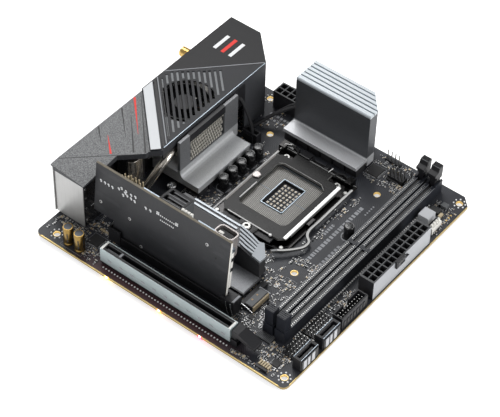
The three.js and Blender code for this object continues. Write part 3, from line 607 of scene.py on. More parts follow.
def cover_trim():
    low, high = COVER_FAR - 0.1, COVER_FAR + FOIL
    stripe = Piece("cover_stripe", "silver_print")
    stripe.prism([(-1.9, 92.2), (32.6, 58.3), (36.4, 62.4), (-1.8, 99.9)], low, COVER_FAR + 0.25)
    stripe.done(bevel=0.1)
    lines = Piece("cover_print_and_highlight_lines", "print", "blue_grey")
    lines.strip((-2.1, 104.6), (36.2, 67.2), 0.55, low, high)
    # A thin pale line along the crease where the dark far part starts: a painted highlight.
    lines.strip((-2.2, 110.6), (36.6, 152), 0.45, low, high)
    # A bright line along the cover's long top edge: a painted highlight.
    lines.strip((37, 64), (37, 151.8), 0.3, low, high, finish=1)
    lines.done()
    dark = Piece("cover_dark_print_and_crease_shade", "paint_black")
    dark.strip((-2, 102.2), (36.4, 64.7), 1, low, high)
    dark.strip((-1.5, 106.6), (35.2, 70.6), 0.5, low, high)
    # A thin dark line along the crease of the near part's step: painted shade.
    dark.strip((-1.8, 23.2), (20.6, 44.8), 0.4, COVER_NEAR - 0.2, COVER_NEAR + 0.05)
    dark.done()


def cover_slashes():
    low, high = COVER_NEAR - 0.05, COVER_NEAR + 0.08
    black = Piece("cover_slashes_black", "paint_black")
    for start, end, width in (((-1.6, 74), (16, 57.2), 0.9), ((-1.7, 55.1), (8.3, 45.8), 0.9),
                              ((26, 52), (4.3, 74.8), 1), ((31.2, 55.7), (0.2, 88.1), 1)):
        black.strip(start, end, width, low, high, far_width=0.12)
    black.done()
    red = Piece("cover_slashes_red", "red")
    red.strip((-1.9, 85), (18.7, 64.2), 1.35, low, high, far_width=0.15)
    red.strip((17.3, 43.5), (6.6, 53.2), 1.2, low, high, far_width=0.15)
    red.done()


def cover_marks():
    """Three plain parallel bars."""
    low, high = COVER_FAR - 0.05, COVER_FAR + FOIL
    white = Piece("cover_bars_white", "print_white")
    for x in (7, 18):
        white.strip((x, 143.5), (x, 156.5), 2.2, low, high)
    white.done()
    red = Piece("cover_bar_red", "red")
    red.strip((12.5, 143.5), (12.5, 156.5), 2.2, low, high)
    red.done()


def vent_groove_highlights():
    """Pale strips on the floors of the shallow grooves outside the fan's circle, laid in short steps: a
    painted highlight of the light on the grooves' walls.
    """
    silver = Piece("vent_groove_highlights", "painted_highlight_grey")
    step, half, first = 1.4, 0.5, (33.35, 72.4)
    low, high = COVER_FAR - 0.7, COVER_FAR - 0.45
    for i in range(12):
        y = first[1] + i * 4.25
        length = min(46.5, (142 - y) * 0.74)
        for k in range(int(length / step)):
            along = (k + 0.5) * step / math.sqrt(2)
            px, py = first[0] - along, y + along
            if math.hypot(px - VENT_CIRCLE[0], py - VENT_CIRCLE[1]) > VENT_CIRCLE[2] + 0.8:
                silver.strip((px + half, py - half), (px - half, py + half), 1.2, low, high)
    silver.done()


def cover_side():
    """The dark recess in the long side, and the ledge under the cover's edge."""
    recess = Piece("cover_recess", "black")
    recess.blocks(0, (36.4, 37.6, 123.9, 133.2, 21, 35.8), (35.6, 38, 112.5, 123.6, 30.9, 35.4))
    recess.done(bevel=0.2)
    ledge = Piece("cover_ledge", "dark")
    ledge.blocks(0, (34.9, 36, 64.5, 81.8, 28.5, 33), (30.2, 31.6, 57.6, 63, 30.5, 33.2))
    ledge.done(bevel=0.2)


VENT_CIRCLE = (22.7, 100.7, 16.6)  # X, Y and radius of the open part of the vent


def fan_details():
    hub = Piece("fan_hub_cap", "dark", body="fan_rotor")
    hub.lathe(21, 100.7, [(0.1, 35.6), (5.2, 35.6), (5.4, 35.75), (0.1, 35.85)], 24)
    hub.done()


# ---- rear connectors

def rear_connectors():
    side = Piece("lan_side_panel", "gloss", "steel")
    side.block(18.5, 18.8, 19.6, 35.6, 0.6, 32.2)
    for z in (4.2, 13.2, 21, 27.6):
        side.block(18.6, 19.15, 20.2, 21.3, z, z + 1.5, 1)
    side.block(18.55, 18.95, 24.5, 33, 12.4, 12.9, 1)
    side.done(bevel=0.08)
    shroud = Piece("usb_shroud", "gloss", "pipe")
    shroud.blocks(0, (17.2, 24.4, 48.6, 49.3, 0.3, 31), (18.9, 24.4, 49.3, 53.7, 0.3, 31))
    turns = [math.radians(90 * k / 8) for k in range(1, 9)]
    rounded = [(24.5 + 3.4 * math.sin(a), 53.6 - 4.8 * math.cos(a)) for a in turns]
    shroud.prism([(24.5, 57.2), (24.5, 48.8), *rounded, (27.9, 57.2)], 0.3, 30.8, 1)
    shroud.done(bevel=0.2)
    tongues = Piece("port_tongues", "blue", "gold", "black")
    for y, levels in ((21, (2.4, 10.2)), (55, (2.4, 10.2, 18, 25.8))):
        for z in levels:
            tongues.block(-0.6, 12.8, y + 1.4, y + 11.8, z + 3.1, z + 4.9)
            tongues.row(4, (0, 2.4), 0.4, 8, y + 2.8, y + 3.8, z + 2.95, z + 3.12, 1)
    tongues.blocks(2, (2, 10, 74.2, 88.8, 4.6, 6.2), (2, 10, 75, 88, 13.2, 14.4),
                   (2, 12.8, 22.5, 32.7, 28.4, 30.2))
    tongues.row(8, (0, 1.08), 3, 12, 23.6, 24, 27.7, 28.45, 1)
    tongues.done(bevel=0.1)
    rings = Piece("jack_rings", "gold")
    for z in (6.4, 16.4, 26.4):
        rings.hollow(45.8, z, [(1.8, -1.95), (2.8, -1.95), (2.8, -1.6), (1.8, -1.6)])
    rings.done(smooth=True)
    flanges = Piece("panel_flanges", "steel")
    for y0, y1, top in ((19, 36.2, 32), (53.8, 69.4, 32.6), (71.9, 91.1, 24)):
        for bar in ((y0, y1, 1, 1.5), (y0, y1, top, top + 0.5), (y0, y0 + 0.5, 1, top),
                    (y1 - 0.5, y1, 1, top)):
            flanges.block(-2.75, -2.45, *bar)
    flanges.done(bevel=0.1)
    for z in (31, 17):
        thread = Piece(f"antenna_thread_{z}", "gold", "white")
        crests = [(r, h + k * 0.5) for k in range(11) for r, h in ((3.12, -9.7), (2.92, -9.45))]
        thread.hollow(136, z, [(3, -9.9), *crests, (2.15, crests[-1][1]), (2.15, -9.9)])
        thread.lathe(136, z, [(2.05, -6), (2.05, -5.8), (0.5, -5.7)], 14, finish=1, axis="x")
        thread.done(smooth=True)


# ---- power stage

def side_heatsink_details():
    pipe = Piece("smooth_heatpipe", "pipe")
    pipe.bent([(33.6, 80.6, 27.4), (35, 73, 27.4), (35.6, 66.4, 25.6), (34.2, 59.4, 19), (32.7, 53.5, 12.6),
               (33.8, 47.8, 8.6), (38.3, 44.1, 7.3), (49.2, 42.7, 7.2)], 2.35)
    pipe.done(smooth=True, replaces=["heatpipe"])
    mesh = Piece("window_fins", "fins", "black")
    pitch = 1.83
    for row in range(5):
        z = 15.4 + row * 2.7
        y = 83.3 + (row % 2) * 0.9
        mesh.row(15, (0, pitch), 38.6, 39.7, y, y + 1.1, z, z + 1.7)
    mesh.row(16, (0, pitch), 38.4, 39.9, 83.1, 83.9, 29, 30.2)
    # The first black block is a sheet behind the fins, painted shade inside the window; the second is a black
    # panel above the window.
    mesh.blocks(1, (38.25, 38.7, 82.7, 111.9, 15, 30.4), (37.9, 40.45, 82.2, 112.3, 30.7, 35.75))
    mesh.done()
    # A pale strip along the edge of the heatsink's foot: a painted highlight.
    foot = Piece("side_heatsink_edge_highlight", "pale")
    foot.block(52.9, 53.3, 73.8, 119.2, 9.25, 9.65)
    foot.done(bevel=0.1)


def capacitors():
    near = [(57.3, y) for y in (90.5, 98.4, 106.3, 113.9, 121.1)] + [(132.6, 104.7)]
    for i, (x, y) in enumerate(near, 1):
        can = Piece(f"capacitor_can_{i}", "sleeve", "black", "print", "grey")
        can.lathe(x, y, [(4.2, 0), (4.2, 0.06), (3.5, 0.07)], 28, finish=2)
        base = ((-3.1, -2.1), (-2.1, -3.1), (3.1, -3.1), (3.1, 3.1), (-2.1, 3.1), (-3.1, 2.1))
        can.prism([(x + dx, y + dy) for dx, dy in base], 0.05, 1, 1)
        can.lathe(x, y, [(2.7, 1), (2.93, 1.2), (2.95, 1.5), (2.95, 8.1), (2.85, 8.5), (2.6, 8.75),
                         (2.35, 8.72)], 28)
        can.lathe(x, y, [(2.35, 8.7), (2.3, 8.85), (1.9, 8.9)], 28)
        for a in map(math.radians, (15, 75, 135)):
            dx, dy = 1.75 * math.cos(a), 1.75 * math.sin(a)
            can.strip((x - dx, y - dy), (x + dx, y + dy), 0.22, 8.85, 8.97, 3)
        can.done(smooth=True, replaces=[f"capacitor_{i}"])
    for i, x in enumerate((19.4, 27.2), 1):
        can = Piece(f"audio_can_{i}", "gold_can", "can_top", "gold_can", "paint_black")
        y = 5.6
        can.lathe(x, y, [(2.9, 0), (2.95, 0.3), (2.95, 1.2), (2.72, 1.5), (2.72, 1.7), (2.95, 2),
                         (2.95, 11.8), (2.85, 12.2), (2.7, 12.4)], 32)
        can.lathe(x, y, [(2.7, 12.2), (2.72, 12.5), (2.35, 12.52)], 32, finish=2)
        can.lathe(x, y, [(2.36, 12.4), (2.3, 12.56), (2, 12.58)], 32, finish=1)
        for k in range(6):
            c, s = math.cos(TAU * k / 6), math.sin(TAU * k / 6)
            start, end = ((x + 2.9 * c - w * s, y + 2.9 * s + w * c) for w in (-0.35, 0.35))
            for z0, z1 in ((3, 5.2), (6, 9.5)):
                can.strip(start, end, 0.16, z0, z1, 3)
        can.done(smooth=True, replaces=[f"audio_capacitor_{i}"])


# ---- processor socket

def socket_details():
    field = Piece("contact_field", "field")
    for x0, x1, y0, y1 in ((70.6, 81.5, 83.8, 122), (95.5, 105.9, 83.8, 122), (81.5, 95.5, 83.8, 93.2),
                           (81.5, 95.5, 114.3, 122)):
        field.block(x0, x1, y0, y1, 2.25, 2.75)
    field.done()
    rim = Piece("contact_rims", "blue_grey")
    rim.frame(81, 96, 92.7, 114.8, 0.5, 2.3, 3.3)
    rim.frame(70.5, 106, 83.7, 122.1, 0.45, 2.3, 3.3)
    rim.strip((72, 103.4), (81, 103.4), 0.2, 2.7, 2.95)
    rim.strip((96, 103.4), (105.8, 103.4), 0.2, 2.7, 2.95)
    rim.done(bevel=0.08)
    parts = Piece("window_capacitors", "cream", "solder")
    for i in range(5):
        for j in range(7):
            x, y = 83.3 + i * 2.45, 95.4 + j * 2.62
            parts.block(x, x + 1.1, y, y + 1.15, 1, 1.8)
            for end in (y - 0.05, y + 0.95):
                parts.block(x - 0.05, x + 1.15, end, end + 0.25, 1, 1.85, 1)
    parts.done()


def load_plate_details():
    """Bright strips along the edges of the plate that holds the processor: painted highlights."""
    edge = Piece("load_plate_edge_highlights", "silver", "contact", "black", "clip", body="load_plate")
    edge.tube([(73.1, 74.6, 5.75), (88, 74.5, 5.75), (102.2, 74.5, 5.75)], 0.42)
    edge.lathe(102.3, 74.5, [(0.9, 5.3), (0.9, 6), (0.5, 6.3)], 12)
    edge.tube([(67.4, 79.5, 5.85), (67.4, 102, 5.9), (67.4, 124, 5.85)], 0.42, finish=3)
    edge.tube([(72.1, 86, 5.8), (72.1, 101, 5.85)], 0.3)
    edge.tube([(72.6, 120.6, 5.75), (75.6, 122.2, 5.75), (90, 122.2, 5.75), (101, 122.1, 5.75),
               (104.8, 119, 5.75)], 0.26, finish=1)
    for x0, x1 in ((71.4, 83.4), (93.6, 104.6)):
        edge.block(x0, x1, 70.6, 74.9, 3.3, 4.5, 2)
    edge.done(smooth=True)
    # A bright bar along the plate's right edge: a painted highlight.
    bar = Piece("load_plate_highlight_bar", "silver", body="load_plate")
    bar.block(108.9, 111.1, 76.8, 126.8, 5.4, 6.25)
    bar.done(bevel=0.35, smooth=True)
    clip = Piece("load_plate_clip", "clip", body="load_plate")
    outline = [(66.7, 103.4), (68.6, 102.6), (71.2, 103.8), (71.2, 106.6), (68.6, 107.8), (66.7, 107)]
    clip.prism(outline, 5.7, 6.8)
    clip.done(bevel=0.5)


def socket_hardware():
    """Dark bars, springs and studs round the socket's frame."""
    bars = Piece("socket_bars", "gloss", "contact", "silver")
    for radius, finish, *path in (
        (0.55, 2, (64.3, 69.6, 1.9), (64.3, 100, 1.9), (64.3, 131, 1.9)),
        (0.35, 1, (66.2, 72, 1.9), (82, 69.4, 1.9)),
        (0.4, 0, (95.2, 69.3, 1.9), (109, 71.6, 1.9), (112.6, 76.4, 1.9)),
        (0.7, 0, (66.6, 134.4, 3.3), (67.4, 135.8, 5), (71, 136.6, 5.2), (74.6, 135.6, 4.8),
         (76.2, 133.2, 3.6)),
        (0.7, 0, (101.2, 133.2, 3.4), (102.6, 135.6, 4.8), (106, 136.6, 5.2), (109, 135.8, 4.6)),
        (0.22, 2, (65.2, 131.2, 4.2), (66.4, 134.6, 6.2), (69.6, 136.4, 6)),
        (0.3, 2, (84, 133.8, 3.2), (88.6, 131.4, 2.4), (91.6, 131.8, 3.4), (95, 134.6, 3),
         (98.6, 135.2, 3.6)),
        (0.24, 2, (98.2, 136.6, 5.4), (97.4, 133, 4.6), (99.2, 131.6, 3.8)),
    ):
        bars.tube(path, radius, finish=finish)
    bars.done(smooth=True)
    studs = Piece("socket_studs", "gloss", "contact")
    for x in (72.8, 83, 94.2, 104.6):
        studs.block(x - 1.5, x + 1.5, 135.2, 138.4, 1.4, 4.2)
    studs.blocks(0, (76.4, 83.6, 133.6, 138.2, 1.4, 5.4), (66.8, 72, 134.2, 138.2, 1.4, 5.2))
    for x, y in ((66.4, 73.6), (110.4, 73.6), (113, 128.2)):
        studs.lathe(x, y, [(1.4, 1.6), (1.4, 2.3), (1, 2.5)], 16, finish=1)
    studs.done(bevel=0.3)


def lever_details():
    tip = Piece("lever_tip", "steel", body="lever")
    tip.tube([(110.9, 69.4, 3.6), (109.6, 67.8, 3.7), (108.8, 66.6, 3.9)], 1.15)
    tip.done(smooth=True)


# ---- memory, expansion and riser

def memory_details():
    for i, x in enumerate((140.9, 148.6), 1):
        slot = Piece(f"memory_lines_{i}", "painted_highlight_grey", "contact", "dimm", "paint_black")
        slot.block(x - 0.75, x + 0.75, 29.4, 95.4, 7.1, 7.3, 3)
        slot.block(x - 0.75, x + 0.75, 97.6, 157.8, 7.1, 7.3, 3)
        for side in (-1, 1):
            # The thin pale posts along each side are painted highlights on the slot's edges.
            slot.post(x + side * 3.05, 93.65, 0.14, 64.35, 7.9, 8.04)
            slot.post(x + side * 1.08, 93.65, 0.06, 64.35, 7.9, 8.03)
            for k in range(99):
                y = 29.8 + k * 1.28
                if abs(y - 96.5) > 1.2:
                    slot.post(x + side * 2.1, y + 0.275, 0.4, 0.275, 7.9, 8.03, 1)
        slot.post(x, 96.5, 2.9, 0.9, 7.9, 8.3, 2)
        slot.row(4, (0, 1.2), x - 2.5, x + 2.5, 24.1, 24.7, 17.9, 18.25, 2)
        slot.done()
        grip = Piece(f"latch_grip_{i}", "black", "grey", body=f"dimm_latch_{i}")
        grip.row(5, (0, 0.62), x - 2.4, x + 2.4, 162, 162.3, 19.9, 20.3)
        grip.block(x - 2.5, x + 2.5, 161.5, 165.2, 19.85, 20.02, 1)
        grip.done()
    solder = Piece("memory_solder", "silver")
    solder.beads(72, (0, 1.7), 153.1, 31, [(0.55, 0), (0.5, 0.3), (0.2, 0.45)], 8)
    solder.done()


def expansion_details():
    lines = Piece("expansion_lines", "contact", "grey", "print")
    for y in (5.9, 11.9):
        lines.block(43.2, 129, y - 0.12, y + 0.12, 10.9, 11.12)
    for y in (7.3, 10.5):
        lines.block(44.4, 128, y - 0.1, y + 0.1, 10.9, 11.05, 1)
    lines.blocks(0, (42.2, 43.4, 5.9, 11.9, 10.95, 11.25), (128.6, 129.8, 5.9, 11.9, 10.95, 11.25))
    lines.block(53.5, 54.7, 7.4, 10.4, 8.5, 11.1, 2)
    lines.block(44.6, 53, 8.5, 9.3, 6, 9.6, 1)
    lines.row(11, (7.7, 0), 47.5, 49.9, 5.3, 5.52, 4.8, 5.9, 2)
    lines.done()
    dots = Piece("expansion_solder", "silver")
    dots.beads(43, (2, 0), 45.4, 3.9, [(0.5, 0), (0.45, 0.2), (0.2, 0.32)], 8)
    dots.done()
    ribs = Piece("expansion_latch_ribs", "grey", body="pcie_latch")
    for k in range(9):
        x = 137.2 + k * 0.85
        z = 9.85 - (k * 0.85 + 2.1) * 0.41
        ribs.block(x, x + 0.42, 6.4, 13, z - 0.3, z + 0.32)
    ribs.done(bevel=0.08)


RISER_FACE = -0.8  # the riser card's near face, across the card


def riser_solder():
    points = [(26.2, 35.6), (29, 35.6), (31.5, 35.6), (34.2, 35.6), (38.6, 37.3), (41.7, 34.7), (44.4, 35.9),
              (47.1, 35.5), (49.6, 35.1), (43.5, 38.3), (47, 37.9), (49.9, 38.3), (40.4, 38.6), (42.9, 36.9),
              (57.2, 35.3), (60.4, 35.3)]
    tails = Piece("riser_solder", "print_white", "solder", "paint_black", lean=RISER_LEAN)

    def tail(x0, x1, z0, z1, proud):
        tails.block(x0, x1, RISER_FACE - proud, RISER_FACE, z0, z1)

    for x, z in points:
        tail(x - 0.75, x + 0.35, z - 0.1, z + 0.65, 0.3)
        tail(x - 0.1, x + 0.6, z - 0.75, z + 0.1, 0.42)
    for x in (64.4, 65.4, 77.1, 78.1):
        for z in (35.8, 36.9):
            tail(x, x + 0.75, z, z + 0.75, 0.3)
    for start, end, z in ((67.2, 76.2, 36.2), (67.4, 75.9, 33.2)):
        for k in range(8):
            x = start + (end - start) * k / 7
            tail(x - 0.25, x + 0.3, z - 0.3, z + 0.35, 0.35)
    for x, z in ((26.5, 20.8), (46.7, 20.9), (55.7, 6.7), (98.2, 35.5)):
        tails.pad(x, z, 1, 1)
        tails.pad(x - 0.2, z - 0.1, 0.5, 2, 0.14)
    tails.pad(104.5, 30, 0.6, 2)
    tails.done()


def riser_details():
    edge = Piece("riser_edges", "card_edge", "white", "blue_grey", "black", lean=RISER_LEAN)
    edge.block(22.2, 112.8, -0.5, 0.5, 45.7, 45.92)
    edge.blocks(1, (112.6, 113.12, -0.6, 0.8, 3, 45.2), (111, 113.1, 1, 2.6, 13, 37.6))
    edge.blocks(3, (110.6, 113.25, 0.95, 3.1, 24.5, 27), (110.6, 113.25, 0.95, 3.1, 31.5, 34))
    edge.block(111, 113.2, 1, 3.2, 37.6, 40.2, 2)
    for x0, x1 in ((50, 62), (87, 98.8)):
        edge.block(x0, x1, 1, 5.6, 40.6, 41.3, 2)
        edge.block(x0 + 1, x1 - 1, 5, 5.7, 34, 41.2, 3)
    edge.row(4, (1.9, 0), 78.6, 80.1, 1, 2.4, 43.4, 46.6, 1)
    edge.done(bevel=0.1)
    header = Piece("riser_pins", "cream", "black", lean=RISER_LEAN)
    header.block(23, 51.5, 0.9, 6.2, 33, 36.4, 1)
    for x, tip in ((24.4, 41.4), (27.2, 41.6), (29.9, 41.8), (37.5, 44.2), (39.9, 44.4), (41.7, 45.6),
                   (44.7, 45.8), (47.1, 45.9), (49.8, 45.8)):
        header.post(x, 2.32, 0.32, 0.32, 34, tip)
        header.post(x, 4.72, 0.32, 0.32, 34, tip - 0.8)
    header.done()


def riser_port():
    """The front port: a rounded shell, open at the top, with a black fill and a small white block inside that
    is a painted glint.
    """
    low, top, r = 32, 45, 2.6
    corners = [(109, 6.3, 0), (102, 6.3, 90), (102, 3.7, 180), (109, 3.7, 270)]

    def outline(radius, z):
        turns = [(x, y, math.radians(start + k * 15)) for x, y, start in corners for k in range(7)]
        return [(x + radius * math.cos(a), y + radius * math.sin(a), z) for x, y, a in turns]

    shell = Piece("riser_port_shell", "clip", "black", "white", lean=RISER_LEAN)
    rings = [outline(r, low), outline(r, top), outline(r - 0.75, top), outline(r - 0.75, low + 2)]
    shell.faces([p for ring in rings for p in ring], skin(4, len(rings[0])))
    shell.block(101.4, 109.6, 3.4, 6.6, low + 2, top - 1.4, 1)
    # The small white block is a painted glint inside the port.
    shell.block(101.6, 104.4, 3, 4.6, top - 1.5, top - 0.6, 2)
    shell.done(smooth=True, replaces=["riser_front_port"])


def riser_socket_details():
    ends = Piece("riser_socket_trim", "gloss", "steel", "print")
    ends.blocks(0, (35, 42, 20.9, 21.3, 9.8, 10.35), (34.6, 36, 26.4, 27.3, 10, 10.9),
                (112.4, 119.6, 20.9, 21.3, 10, 10.6))
    ends.block(118.6, 119.8, 21.4, 27.2, 10.2, 10.55, 2)
    for x in (115.2, 118.2):
        leg = [(x, 20.4, 9.4), (x + 0.6, 20.2, 6), (x + 1.6, 20.3, 2.2), (x + 2.2, 20.4, 0.4)]
        ends.tube(leg, 0.35, finish=1)
    ends.tube([(120.5, 26.4, 6.2), (122.4, 27.6, 4.4), (124.6, 28.4, 2.2), (126.6, 28.9, 0.5)], 0.4, finish=1)
    ends.done(bevel=0.1)


def data_block_details():
    slots = Piece("data_block_tongues", "gloss", "print", "grey", lean=RISER_LEAN)
    for y in (2.5, 7.5):
        slots.block(67.4, 76.4, y + 0.35, y + 1.2, 38.9, 44.6)
        slots.block(65.6, 77.4, y - 0.75, y - 0.55, 45.2, 45.5, 1)
        slots.block(67.6, 77.4, y + 2.05, y + 2.25, 45.2, 45.5, 1)
    slots.block(78.5, 78.85, 1.6, 11.6, 31.4, 45.1, 2)
    slots.done(bevel=0.06)


# ---- drive cooler

def drive_details():
    bars = Piece("drive_cooler_bars", "drive_bright", "drive_plate", "black")
    for y in (59.7, 57):
        bars.block(62.5, 93.5, y - 0.75, y + 0.55, 18.6, 19.35)
    bars.block(55.4, 93, 48.2, 55.6, 18.75, 18.95, 2)

    def top(x, y):
        """Level of the cooler's sloping end."""
        return 18.95 - max(0, (x - 93.5) * 0.8 - (60.4 - y) * 0.45) * 5.2 / 19.5

    for k in range(5):
        y0, y1 = 59.9 - k * 2.35, 57.9 - k * 1.95
        x0, x1 = 93.3 + k * 1.7, 108.6 + k * 0.5
        section = ((-0.62, -0.9), (0.62, -0.9), (0.62, 0.55), (-0.62, 0.55))
        spots = ((x0, y0), ((x0 + x1) / 2, y0 - 0.6), (x1, y1))
        bars.faces([(x, y + dy, top(x, y) + dz) for x, y in spots for dy, dz in section], skin(3, 4))
    tip = [(107.2, 58.8), (109.3, 60.2), (115.6, 53.2), (115.6, 48.2), (110.2, 48.2)]
    bars.faces([(x, y, top(x, y) + dz) for dz in (-0.9, 0.6) for x, y in tip], skin(2, 5))
    bars.block(40, 116.4, 33.6, 47.4, 4.45, 4.75, 1)
    bars.done(bevel=0.15)
    socket = Piece("drive_socket_details", "cream", "tan", "grey", "print")
    socket.row(22, (0, 0.6), 125.4, 126.5, 29.9, 30.24, 0.2, 3.5)
    socket.block(120.9, 125.2, 30, 42.8, 3.65, 3.85, 2)
    socket.blocks(1, (121.8, 122.8, 33.4, 34.4, 3.8, 3.95), (121.8, 122.8, 37.6, 38.6, 3.8, 3.95))
    socket.block(119.6, 126.6, 43.2, 44, 2.4, 3.2, 3)
    socket.done()


# ---- edge connectors

def edge_connector_details():
    pins = Piece("connector_pins", "contact", "gold", "pale", "black", "blue_grey", "dark")
    for x in (164.35, 166.35):
        pins.row(10, (0, 2), x, x + 0.5, 51.35, 51.85, 1.6, 7)
    for x in (161.7, 165.9):
        pins.row(12, (0, 4.2), x, x + 1, 78.95, 79.95, 7, 9.4, 1)
    for y in (13.9, 32.6):
        pins.block(168.9, 169.6, y + 0.6, y + 14.4, 0.2, 7.4, 3)
        for a, b in ((2, 4.6), (5.6, 7.4), (9, 11.4)):
            pins.block(169.4, 169.85, y + a, y + b, 0.9, 6.9, 2)
        pins.block(165.6, 166, y + 2.4, y + 10.8, 4, 8, 3)
        for x in (164.1, 168.9):
            pins.block(x, x + 0.25, y + 0.4, y + 14.6, 8.3, 8.55, 4)
    pins.block(168.6, 170.4, 95.4, 103.4, 8.4, 13.7, 3)
    pins.block(170.2, 170.6, 96.2, 102.6, 8.8, 12.8, 5)
    pins.row(7, (0, 2.8), 169.05, 169.25, 51, 52.6, 1.5, 5.5, 3)
    pins.done(bevel=0.05)
    cable = Piece("processor_power_strip", "rubber")
    cable.tube([(37.5, 132.4, 1.2), (42, 139, 3), (48, 147, 8.5), (54.5, 153, 13), (58, 156.5, 14)], 1)
    cable.tube([(37.9, 134.2, 1), (41.4, 141, 2.6), (47.4, 149, 7.9), (53.4, 155, 13.2), (58, 159, 14.6)],
               0.8)
    cable.done(smooth=True)


# ---- small parts on the board

def surface_parts():
    """Small resistors and capacitors in rows and loose groups, with bright ends."""
    dice = random.Random(7)
    grid = 0.9
    zones = [  # X and Y limits, and how many
        (119, 137, 20, 77, 250), (131, 160, 2.5, 21, 230), (153.5, 162, 14, 75, 120),
        (110, 137, 146, 168, 120), (153.5, 168, 130, 158, 70), (3, 40, 2.5, 19, 170), (19.6, 42, 19, 47, 150),
        (40, 61, 50, 84, 150), (40, 56, 120, 158, 40), (116, 122, 80, 132, 30), (59, 112, 61, 67, 60),
        (57.5, 62, 84, 128, 40), (42, 128, 14.2, 19.6, 70), (112, 121, 20, 60, 60), (20, 38, 130, 150, 30),
    ]
    kept_clear = [
        (15.9, 30.7, 2.1, 9.1), (25, 35, 12, 21.2), (4.5, 15.8, 1.5, 11.5), (159.8, 170, 1.5, 11.5),
        (151, 158, 8, 14), (145, 156, 3.4, 7.8), (136, 147, 17, 25), (129, 138, 101, 108.5),
        (110, 120, 149.5, 160), (120, 133, 59, 71), (120, 131, 134, 146), (46, 56, 60, 70.6),
        (33, 41, 66.4, 74.4), (117, 127, 28, 50), (54, 61, 86.6, 125), (137.4, 152.2, 22, 166),
        (130, 146, 5, 14), (46, 56, 134, 146), (27, 39, 158, 169.4), (153, 163.4, 136, 147),
        (41, 51, 127, 133),
    ]
    sizes = ((0.5, 0.27, 0.3), (0.62, 0.34, 0.4), (0.4, 0.22, 0.25), (0.85, 0.5, 0.5))
    parts = Piece("surface_parts", "solder", "cream", "epoxy", "tan", "grey")
    for x0, x1, y0, y1, count in zones:
        for _ in range(count * 7 // 4):
            x = x0 + round(dice.random() * (x1 - x0) / grid) * grid
            y = y0 + round(dice.random() * (y1 - y0) / grid) * grid
            if any(a < x < b and c < y < d for a, b, c, d in kept_clear):
                continue
            long, wide, high = dice.choice(sizes)
            body = dice.choice((1, 2, 3, 4, 2, 2))
            ways = ((1, 0), (0, 1)) if dice.random() < 0.5 else ((0, 1), (1, 0))
            (ax, ay), (bx, by) = ways  # along the part, and across it
            parts.post(x, y, long * ax + wide * bx, long * ay + wide * by, 0, high, body)
            for end in (-0.84 * long, 0.84 * long):
                parts.post(x + end * ax, y + end * ay, 0.18 * long * ax + 1.05 * wide * bx,
                           0.18 * long * ay + 1.05 * wide * by, 0, high + 0.03)
    parts.done()


def chip(piece, x, y, size, high, leads):
    piece.post(x, y, size / 2, size / 2, 0.05, high)
    dot = [(0.3, high), (0.3, high + 0.02), (0.1, high + 0.03)]
    piece.lathe(x - size * 0.36, y - size * 0.36, dot, 10, finish=1)
    pitch = size * 0.9 / leads
    for k in range(leads):
        at = -size * 0.45 + (k + 0.5) * pitch
        for out in (-size / 2 - 0.275, size / 2 + 0.275):
            piece.post(x + at, y + out, pitch * 0.25, 0.275, 0, 0.25, 2)
            piece.post(x + out, y + at, 0.275, pitch * 0.25, 0, 0.25, 2)


def chips():
    packages = Piece("chips", "epoxy", "print", "solder")
    for x, y, size, high, leads in (
        (114.4, 154.3, 8, 1, 16), (30.2, 15.6, 7, 1.1, 12), (156.4, 10.6, 4.6, 0.9, 8),
        (127.5, 26.5, 3, 0.8, 4), (47.5, 76.5, 4.2, 0.9, 6), (143.5, 13.6, 3.4, 0.9, 4),
    ):
        chip(packages, x, y, size, high, leads)
    packages.block(136.9, 146.2, 18.3, 20.4, 0.02, 0.3, 1)
    packages.blocks(0, (122.6, 129.6, 153.2, 156.6, 0.05, 1), (155.2, 161, 148.6, 152.4, 0.05, 1.6))
    packages.done(bevel=0.06)
    patch = Piece("hatched_patch", "grey", "dark")
    patch.row(11, (0.84, 0), 137, 137.46, 18.4, 23.8, 0.02, 0.9)
    patch.block(136.8, 146.4, 18.2, 24, 0, 0.55, 1)
    patch.done()
    choke = Piece("power_choke", "pale", "solder")
    choke.block(154, 161, 138.8, 146.2, 0.1, 4.8)
    choke.blocks(1, (153.8, 155.4, 138.6, 146.4, 0.05, 1), (159.6, 161.2, 138.6, 146.4, 0.05, 1))
    choke.done(bevel=0.35)
    small = Piece("small_chokes", "grey", "cream", "gold")
    small.block(158.8, 162.4, 154.2, 157.4, 0.1, 2.6)
    small.block(161.6, 163.4, 147.4, 150.6, 0.05, 1.4, 1)
    small.beads(3, (0, 2.3), 166.6, 148.4, [(0.7, 0), (0.65, 0.3), (0.2, 0.5)], 12, 2)
    small.done(bevel=0.15)


def headers():
    pins = Piece("pin_headers", "black", "contact", "white", "gold", "cream")
    for x, y, columns, rows, pitch, tip, base in (
        (124, 155.6, 4, 2, 2.54, 8.4, 2.6), (134.8, 160.4, 3, 1, 2.54, 8.4, 2.6),
        (114.6, 166.4, 4, 1, 2.54, 8, 1.2), (155.6, 19, 3, 7, 2.2, 3, 1), (155, 36.4, 4, 8, 2.1, 3, 1),
    ):
        x1, y1 = x + (columns - 1) * pitch, y + (rows - 1) * pitch
        pins.block(x - 1.2, x1 + 1.2, y - 1.2, y1 + 1.2, 0.05, base)
        for i in range(columns):
            for j in range(rows):
                pins.post(x + i * pitch, y + j * pitch, 0.22, 0.22, base - 0.1, tip, 1)
    pins.blocks(2, (163.6, 166.4, 134.6, 144, 0.1, 3.4), (162.9, 166.9, 134.2, 135.2, 0.1, 4.6))
    pins.row(4, (0, 2.1), 164.4, 165.6, 135.9, 137.1, 3.3, 5.4, 2)
    pins.row(5, (1.42, 0), 149.6, 150.4, 4.2, 7.4, 0.1, 1.5, 4)
    pins.row(5, (1.75, 0), 26.4, 27.7, 22.8, 23.9, 0.1, 1, 4)
    pins.block(149, 156.4, 2.2, 3.4, 0.1, 1.8)
    pins.done()


